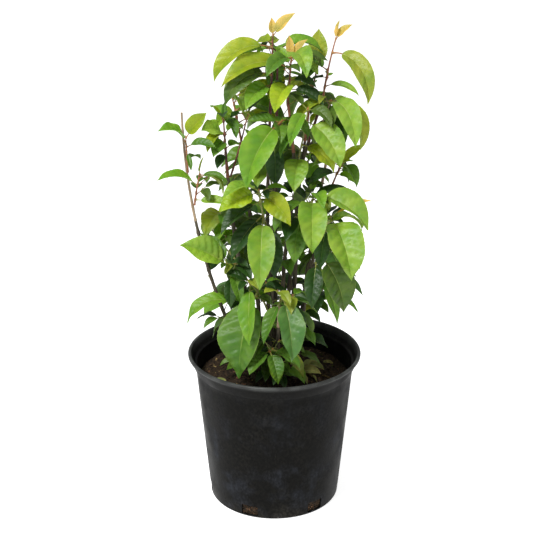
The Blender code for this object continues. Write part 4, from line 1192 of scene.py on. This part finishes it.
for line, wood in fine_twigs:
    points, _ = arc(*line, np.linspace(0, 1, len(YOUNG_TWIG_SHAPE)))
    bark_heaps[wood].add(*tube(points, YOUNG_TWIG_RADIUS * YOUNG_TWIG_SHAPE, BUD_SIDES))

for wood, heap in bark_heaps.items():
    finishes = [WOODS[wood], CUT_WOOD] if wood == "tan" else [WOODS[wood]]
    heap.piece("wood_" + wood, finishes, "bark", bark_homes[wood])
bud_heap.piece("buds", [wood_finish("bud_scales", (120, 78, 44), (160, 116, 62), 0.5, 0.0001)], "bark")

rib_heap.piece("leaf_ribs", [leaf_finish("leaf_ribs", (148, 168, 92), 0.5, DULL_GLOW)], "foliage")
for kind, colour in (("green", (128, 140, 62)), ("red", (146, 112, 66))):
    finish = leaf_finish("stalk_" + kind, colour, 0.45, DULL_GLOW)
    stalk_heaps[kind].piece("leaf_stalks_" + kind, [finish], "foliage")

# %% [markdown]
# ## The nursery pot
# The pot is blown or moulded from one black plastic: a rolled bead, a collar that sweeps in to a tapering
# wall, and six drain holes low in its wall. A profile is drawn by extruding one corner from point to
# point, and spun round the axis. That gives the true wall, with its inner ledge, in one closed skin.

# %% Turn a profile
def pick(thing):
    deselect()
    thing.select_set(True)
    bpy.context.view_layer.objects.active = thing


def edit_everything():
    bpy.ops.object.mode_set(mode="EDIT")
    bpy.ops.mesh.select_all(action="SELECT")


def turned(name, profile, steps):
    """Draw a profile in the XZ plane by extruding a corner from point to point, and spin it round Z."""
    deselect()
    first = Vector((profile[0][0] * MM, 0.0, profile[0][1] * MM))
    bpy.ops.mesh.primitive_plane_add(size=0.001, location=first)
    thing = bpy.context.object
    thing.name = thing.data.name = name
    edit_everything()
    bpy.ops.mesh.merge(type="CENTER")
    for before, after in zip(profile, profile[1:]):
        move = ((after[0] - before[0]) * MM, 0.0, (after[1] - before[1]) * MM)
        bpy.ops.mesh.extrude_region_move(TRANSFORM_OT_translate={"value": move})
    bpy.ops.mesh.select_all(action="SELECT")
    bpy.ops.mesh.spin(steps=steps, angle=FULL_TURN, center=(0, 0, 0), axis=(0, 0, 1))
    bpy.ops.mesh.select_all(action="SELECT")
    bpy.ops.mesh.remove_doubles(threshold=0.00002)
    bpy.ops.mesh.delete_loose()
    bpy.ops.mesh.select_all(action="SELECT")
    bpy.ops.mesh.normals_make_consistent(inside=False)
    bpy.ops.object.mode_set(mode="OBJECT")
    bpy.ops.object.transform_apply(location=True, rotation=True, scale=True)
    print(f"{name}: {len(thing.data.vertices)} corners after the spin")
    return thing


# %% Draw the pot's profile
RIM_RADIUS = 120.0
BASE_RADIUS = 90.8
COLLAR_DROP = 23.0
COLLAR_NECK = 3.0
COLLAR_SWEEP = 0.8
BEAD = 5.0
WALL = 2.0
LEDGE_DROP = 15.0
LEDGE_STEP = 2.5
INNER_FLARE = 1.0
FLOOR_THICKNESS = 3.0
CORNER = 2.0
FOOT_WIDTH = 9.0
FOOT_RECESS = 1.2
CHAMFER = 1.5
LEDGE_EASE = 0.6
OUTER_HEIGHTS = (186.0, 160.0, 130.0, 100.0, 70.0, 40.0, 15.0)
INNER_HEIGHTS = (40.0, 100.0, 150.0)
COLLAR_FOOT = POT_HEIGHT - COLLAR_DROP
POT_STEPS = 180
COLLAR_STEPS, BEAD_STEPS, CORNER_STEPS = 12, 12, 4


def wall_radius(height):
    return BASE_RADIUS + (COLLAR_RADIUS - BASE_RADIUS) * height / COLLAR_FOOT


def rounding(x, z, radius, first, last, steps):
    """Points of a round in the profile, from one angle to another in half turns."""
    angles = [math.pi * (first + (last - first) * step / steps) for step in range(steps + 1)]
    return [(x + radius * math.cos(angle), z + radius * math.sin(angle)) for angle in angles]


def pot_profile():
    """From the rim's inner edge over the bead, down the outside, under the base, and up the inside."""
    outline = rounding(RIM_RADIUS - BEAD / 2, POT_HEIGHT - BEAD / 2, BEAD / 2, 0.75, -0.5, BEAD_STEPS)
    neck = RIM_RADIUS - COLLAR_NECK
    for step in range(1, COLLAR_STEPS + 1):
        share = step / COLLAR_STEPS
        outline.append((COLLAR_RADIUS + (neck - COLLAR_RADIUS) * (1 - share) ** COLLAR_SWEEP,
                        POT_HEIGHT - BEAD - (COLLAR_DROP - BEAD) * share))
    outline += [(wall_radius(height), height) for height in OUTER_HEIGHTS]
    outline += rounding(BASE_RADIUS - CORNER, CORNER, CORNER, 0.0, -0.5, CORNER_STEPS)
    foot, inner_foot = BASE_RADIUS - FOOT_WIDTH, wall_radius(FLOOR_THICKNESS) - WALL
    outline += [(foot, 0.0), (foot - CHAMFER, FOOT_RECESS), (0.0, FOOT_RECESS)]
    inside = [(0.0, FLOOR_THICKNESS), (inner_foot - CHAMFER, FLOOR_THICKNESS),
              (inner_foot, FLOOR_THICKNESS + CHAMFER)]
    inside += [(wall_radius(height) - WALL, height) for height in INNER_HEIGHTS]
    ledge, ledge_height = COLLAR_RADIUS + INNER_FLARE - WALL, POT_HEIGHT - LEDGE_DROP
    inside += [(COLLAR_RADIUS - WALL, COLLAR_FOOT), (ledge - LEDGE_EASE, ledge_height - LEDGE_EASE),
               (ledge, ledge_height), (ledge + LEDGE_STEP - LEDGE_EASE, ledge_height + INNER_FLARE - 0.2),
               (ledge + LEDGE_STEP, ledge_height + INNER_FLARE + 0.5),
               (RIM_RADIUS - BEAD - INNER_FLARE + 0.5, POT_HEIGHT - BEAD)]
    return outline + inside + outline[:1]


pot = turned("pot_shell", pot_profile(), POT_STEPS)

# %% Cut the drain holes
HOLE_COUNT = 6
FIRST_HOLE = 248.0
HOLE_WIDTH = 24.0
HOLE_TOP = 18.5
HOLE_SILL = 2.4
HOLE_REACH = 16.0
HOLE_OVERRUN = 4.0
HOLE_ROUNDING = 1.5
HOLE_RAGGED = 0.5


def cut_drain(number):
    """A block with soft, slightly ragged edges, cut out of the pot's wall just above its foot."""
    angle = math.radians(FIRST_HOLE + number * 360.0 / HOLE_COUNT)
    middle = (BASE_RADIUS + HOLE_OVERRUN - HOLE_REACH / 2) * MM
    deselect()
    bpy.ops.mesh.primitive_cube_add(size=1.0)
    block = bpy.context.object
    block.scale = (HOLE_REACH * MM, HOLE_WIDTH * MM, (HOLE_TOP - HOLE_SILL) * MM)
    block.rotation_euler[2] = angle
    block.location = (middle * math.cos(angle), middle * math.sin(angle), (HOLE_TOP + HOLE_SILL) / 2 * MM)
    bpy.ops.object.transform_apply(location=True, rotation=True, scale=True)
    edit_everything()
    bpy.ops.mesh.bevel(offset=HOLE_ROUNDING * MM, segments=3, affect="EDGES")
    bpy.ops.mesh.subdivide(number_cuts=2)
    bpy.ops.transform.vertex_random(offset=HOLE_RAGGED * MM, seed=number)
    bpy.ops.object.mode_set(mode="OBJECT")
    pick(pot)
    cut = pot.modifiers.new("drain", "BOOLEAN")
    cut.object = block
    cut.solver = "MANIFOLD"
    bpy.ops.object.modifier_apply(modifier=cut.name)
    bpy.data.objects.remove(block, do_unlink=True)


for number in range(HOLE_COUNT):
    cut_drain(number)
bpy.ops.object.shade_smooth_by_angle(angle=math.radians(38.0))
print("pot:", sum(len(face.vertices) - 2 for face in pot.data.polygons), "triangles")

# %% [markdown]
# ## Scuffed black plastic
# A used pot is not evenly black. Wiping leaves bluish grey smears with a fine mottle, potting leaves
# specks and a dusty foot, and handling leaves pale scratches. The top of the rim is painted lighter grey,
# a painted highlight where the bead catches the light, and gets a glossy coat there. Each is a mask made
# from stretched noise, and the masks mix the colours and the roughness together.

# %% Paint the pot
plastic = Finish("black_plastic", Specular_IOR_Level=0.034, Coat_Roughness=0.4)
height = plastic.node("ShaderNodeSeparateXYZ", None, {"Vector": plastic.place}, output=2)
low = plastic.ramp(height * 5.0, (0.0, 1.0), (0.95, 0.0))
smears = plastic.ramp(plastic.grain(30.0, 12.0, (1.0, 1.0, 1.2), 5.0), (0.46, 0.0), (0.66, 1.0))
mottle = plastic.ramp(plastic.grain(300.0, 9.0, (1.0, 1.0, 0.8), 2.0), (0.4, 0.0), (0.64, 1.0))
scratches = plastic.ramp(plastic.grain(70.0, 5.0, (1.0, 1.0, 0.22), 4.0), (0.52, 0.0), (0.68, 1.0))
haze = plastic.ramp(plastic.grain(34.0, 7.0, (1.0, 1.0, 0.8), 3.0), (0.4, 0.0), (0.75, 1.0))
specks = plastic.ramp(plastic.grain(620.0, 2.0, (1.0, 1.0, 1.0), 7.0), (0.7, 0.0), (0.76, 1.0))
foot_dust = plastic.ramp(height * 30.0, (0.0, 1.0), (0.8, 0.0)) * haze
# Painted highlight: the top of the rim, where the bead catches the light, is painted pale grey and given a
# coat
rim_highlight = plastic.ramp(height, (0.208, 0.0), (0.2145, 1.0)) * (0.35 + haze * 0.65)
dirt = smears * (0.05 + haze * 0.12 + scratches * 0.26 + mottle * 0.14) * (0.18 + low * 0.82)
dust = mottle * (0.02 + haze * 0.05) + foot_dust * (0.12 + mottle * 0.3) + specks * 0.2
grimy = plastic.blend(dust, paint(13, 13, 12), paint(84, 80, 72))
bloom = plastic.blend(dirt, grimy, paint(62, 66, 76))
# The pale grey mixed in at the top of the rim is the painted highlight
shade = plastic.blend(rim_highlight * 0.8, bloom, paint(84, 86, 84))
plastic.set(Base_Color=shade, Coat_Weight=rim_highlight * 0.5, Roughness=0.36 + haze * 0.22 + smears * 0.1)
plastic.relief(plastic.grain(420.0, 3.0) * 0.6 + plastic.grain(60.0, 2.0, (1, 1, 0.4)) * 0.4, 0.0004, 0.6)
pot.data.materials.clear()
pot.data.materials.append(plastic.material)
settle(pot, ("pot",))

# %% [markdown]
# ## Potting mix
# The mix is dark, moist bark fines. Its body is turned like the pot, with many rings across its top, and
# every corner of the top is then moved by noise, as a sculptor would roughen clay. Bark chips, straw and
# withered leaves lie on it. One chip of each kind is modelled, and its copies are laid down as one mesh.

# %% Model the mix
MIX_CLEAR = WALL + 0.6
MIX_RINGS = 44
MIX_STEPS = 190
MIX_FLOOR = 3.5
MIX_HEIGHTS = (170, 120, 70, 30, 24, 19, 15, 12, 9, 6, MIX_FLOOR)
TOP_LAYER = 0.5
BULGE, BULGE_SCALE, BULGE_HEIGHTS = 0.012, 260.0, (5, 25)
# Each layer's height in millimetres, its waves for each millimetre, and a shift of its noise
LUMPS = (3.2, 0.035, 2.0)
CRUMBS = (1.5, 0.22, 5.0)
GRIT = (0.9, 0.5, 9.0)
mix_radius = wall_radius(SOIL_LEVEL) - MIX_CLEAR


def surface_height(x, y):
    """How far the mix rises above its mean level at a place, in millimetres."""
    return sum(height * noise.noise(Vector((x * scale, y * scale, shift)))
               for height, scale, shift in (LUMPS, CRUMBS, GRIT))


mix_profile = [(mix_radius * ring / MIX_RINGS, SOIL_LEVEL) for ring in range(MIX_RINGS + 1)]
mix_profile += [(wall_radius(height) - MIX_CLEAR, height) for height in MIX_HEIGHTS]
mix_profile += [(60.0, MIX_FLOOR), (0.0, MIX_FLOOR)]
mix = turned("potting_mix_body", mix_profile, MIX_STEPS)
for vertex in mix.data.vertices:
    x, y, z = vertex.co / MM
    if z > SOIL_LEVEL - TOP_LAYER:
        vertex.co.z += surface_height(x, y) * MM
    elif BULGE_HEIGHTS[0] < z < BULGE_HEIGHTS[1]:
        swell = 1 + BULGE * noise.noise(vertex.co * BULGE_SCALE)
        vertex.co.x *= swell
        vertex.co.y *= swell
pick(mix)
bpy.ops.object.shade_smooth_by_angle(angle=math.radians(40.0))


# %% Paint the mix and its chips
def crumb_finish(name, dark, light, scale, relief):
    finish = Finish(name, Roughness=0.95, Specular_IOR_Level=0.2)
    flecks = finish.ramp(finish.grain(scale, 6.0), (0.36, 0.0), (0.66, 1.0))
    finish.set(Base_Color=finish.blend(flecks, paint(*dark), paint(*light)))
    finish.relief(finish.grain(scale * 2.2, 4.0), relief)
    return finish


mix.data.materials.append(crumb_finish("moist_mix", (18, 14, 9), (60, 46, 31), 300.0, 0.0016).material)
settle(mix, ("potting_mix",))

# %% Model three chips and lay their copies
CHIP_SIZES = {"slab": (1.0, 0.55, 0.16), "lump": (0.8, 0.7, 0.5), "splinter": (1.0, 0.16, 0.12)}
CHIP_RAGGED = 0.07
CHIP_REACH = mix_radius - 5
CHIP_TILT = 0.5
CHIP_LIFT = 0.12
HOLE_CHIPS = 26
HOLE_KINDS = ("lump", "slab", "splinter")
HOLE_CHIP_SIZE = (2.0, 4.5)
HOLE_SPREAD, HOLE_HEIGHT, PRESSED_OUT = (-7, 7), (4, 15), (-1.5, 0.6)


def model_chip(name, size):
    """A rough chip of unit length: a ball of few faces, squashed and broken."""
    deselect()
    bpy.ops.mesh.primitive_ico_sphere_add(subdivisions=2, radius=0.5)
    chip = bpy.context.object
    edit_everything()
    bpy.ops.transform.resize(value=size, center_override=(0, 0, 0))
    bpy.ops.transform.vertex_random(offset=CHIP_RAGGED, seed=len(name))
    bpy.ops.object.mode_set(mode="OBJECT")
    corners = np.array([vertex.co for vertex in chip.data.vertices])
    faces = np.array([tuple(face.vertices) for face in chip.data.polygons])
    bpy.data.objects.remove(chip, do_unlink=True)
    return corners, faces


chips = {name: model_chip(name, size) for name, size in CHIP_SIZES.items()}


def lay_chip(heap, kind, angles, size, spot):
    corners, faces = chips[kind]
    turn = np.array(Euler(angles).to_matrix())
    heap.add(corners @ turn.T * size + np.array(spot), faces)


def lay_chips(heap, kinds, count, sizes, chance):
    """Chips strewn over the mix, nearly flat."""
    draw = chance.uniform
    for _ in range(count):
        kind = chance.choice(kinds)
        out, around = CHIP_REACH * math.sqrt(chance.random()), draw(0, FULL_TURN)
        x, y = out * math.cos(around), out * math.sin(around)
        angles = [draw(-CHIP_TILT, CHIP_TILT), draw(-CHIP_TILT, CHIP_TILT), draw(*ANY_TURN)]
        size = draw(*sizes)
        lay_chip(heap, kind, angles, size, (x, y, SOIL_LEVEL + surface_height(x, y) + CHIP_LIFT * size))


def fill_holes(heap, chance):
    """Chips that press out at the drain holes."""
    draw = chance.uniform
    for number in range(HOLE_COUNT):
        angle = FIRST_HOLE + number * 360.0 / HOLE_COUNT
        for _ in range(HOLE_CHIPS):
            kind = chance.choice(HOLE_KINDS)
            angles = [draw(*ANY_TURN) for _ in range(3)]
            around, high = math.radians(angle + draw(*HOLE_SPREAD)), draw(*HOLE_HEIGHT)
            out = wall_radius(high) - MIX_CLEAR + draw(*PRESSED_OUT)
            spot = (out * math.cos(around), out * math.sin(around), high)
            lay_chip(heap, kind, angles, draw(*HOLE_CHIP_SIZE), spot)


CHIP_KINDS = (
    ("chips_dark", ("lump", "slab"), 300, (2.5, 7.0), (26, 20, 14), (72, 56, 40)),
    ("chips_red", ("slab", "lump"), 60, (3.0, 8.0), (52, 34, 24), (106, 78, 56)),
    ("chips_straw", ("splinter", "slab"), 60, (2.0, 6.0), (96, 80, 50), (150, 128, 84)),
)
for number, (name, kinds, many, sizes, dark, light) in enumerate(CHIP_KINDS):
    chance = chance_for("chips", number)
    heap = Heap()
    lay_chips(heap, kinds, many, sizes, chance)
    if name != "chips_straw":
        fill_holes(heap, chance)
    finish = crumb_finish(name, dark, light, 420.0, 0.0006)
    heap.piece(name, [finish], "potting_mix", smooth=math.radians(30.0))

# %% Fallen leaves
# Each one's place, heading, rise, length, turn of the face and relative width
FALLEN = (
    (32, -4, 30, 14, 44, 34, 1.0), (60, -6, 350, 14, 24, -30, 0.9), (66, 34, 15, 14, 22, 20, 0.7),
    (-62, -40, 140, 14, 34, 16, 0.8), (10, 80, 200, 14, 42, 20, 0.8), (58, -34, 300, 14, 36, 16, 0.7),
    (30, -12, 300, 52, 36, -20, 1.0), (34, -4, 340, 60, 38, 30, 0.9), (36, 10, 20, 44, 34, 20, 1.0),
    (42, -4, 310, 36, 30, -30, 0.9), (44, 16, 330, 50, 34, 10, 0.9),
)
LYING_SAG = 40
LYING_OVER_MIX = 2.0
fallen_heap = Heap()
for number, (x, y, turn, rise, length, face, wide) in enumerate(FALLEN):
    leaf = Leaf(0, turn, rise, length, LYING_SAG + rise, face, wide, "d")
    root = (x, y, SOIL_LEVEL + surface_height(x, y) + LYING_OVER_MIX)
    corners = fine_leaf(root, leaf, chance_for("fallen", number), SHORT_ROWS)[0]
    fallen_heap.add(corners, *LEAF_FACES[SHORT_ROWS])
# The third dry finish colours the midrib and the edge strip; the pale edge is partly a painted highlight
dry = [leaf_finish(name, colour, 0.75, 0.15) for name, colour in (
    ("dry_leaf", (116, 122, 60)), ("dry_leaf_under", (120, 108, 66)), ("dry_leaf_rib_and_edge_highlight", (138, 122, 78)))]
fallen_heap.piece("fallen_leaves", dry, "potting_mix")

# %% Print the two sizes
bpy.context.view_layer.update()
dressed_box = [list(corner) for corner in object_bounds()]
print("frame ", [[round(v, 4) for v in corner] for corner in frame_box])
print("dressed", [[round(v, 4) for v in corner] for corner in dressed_box])
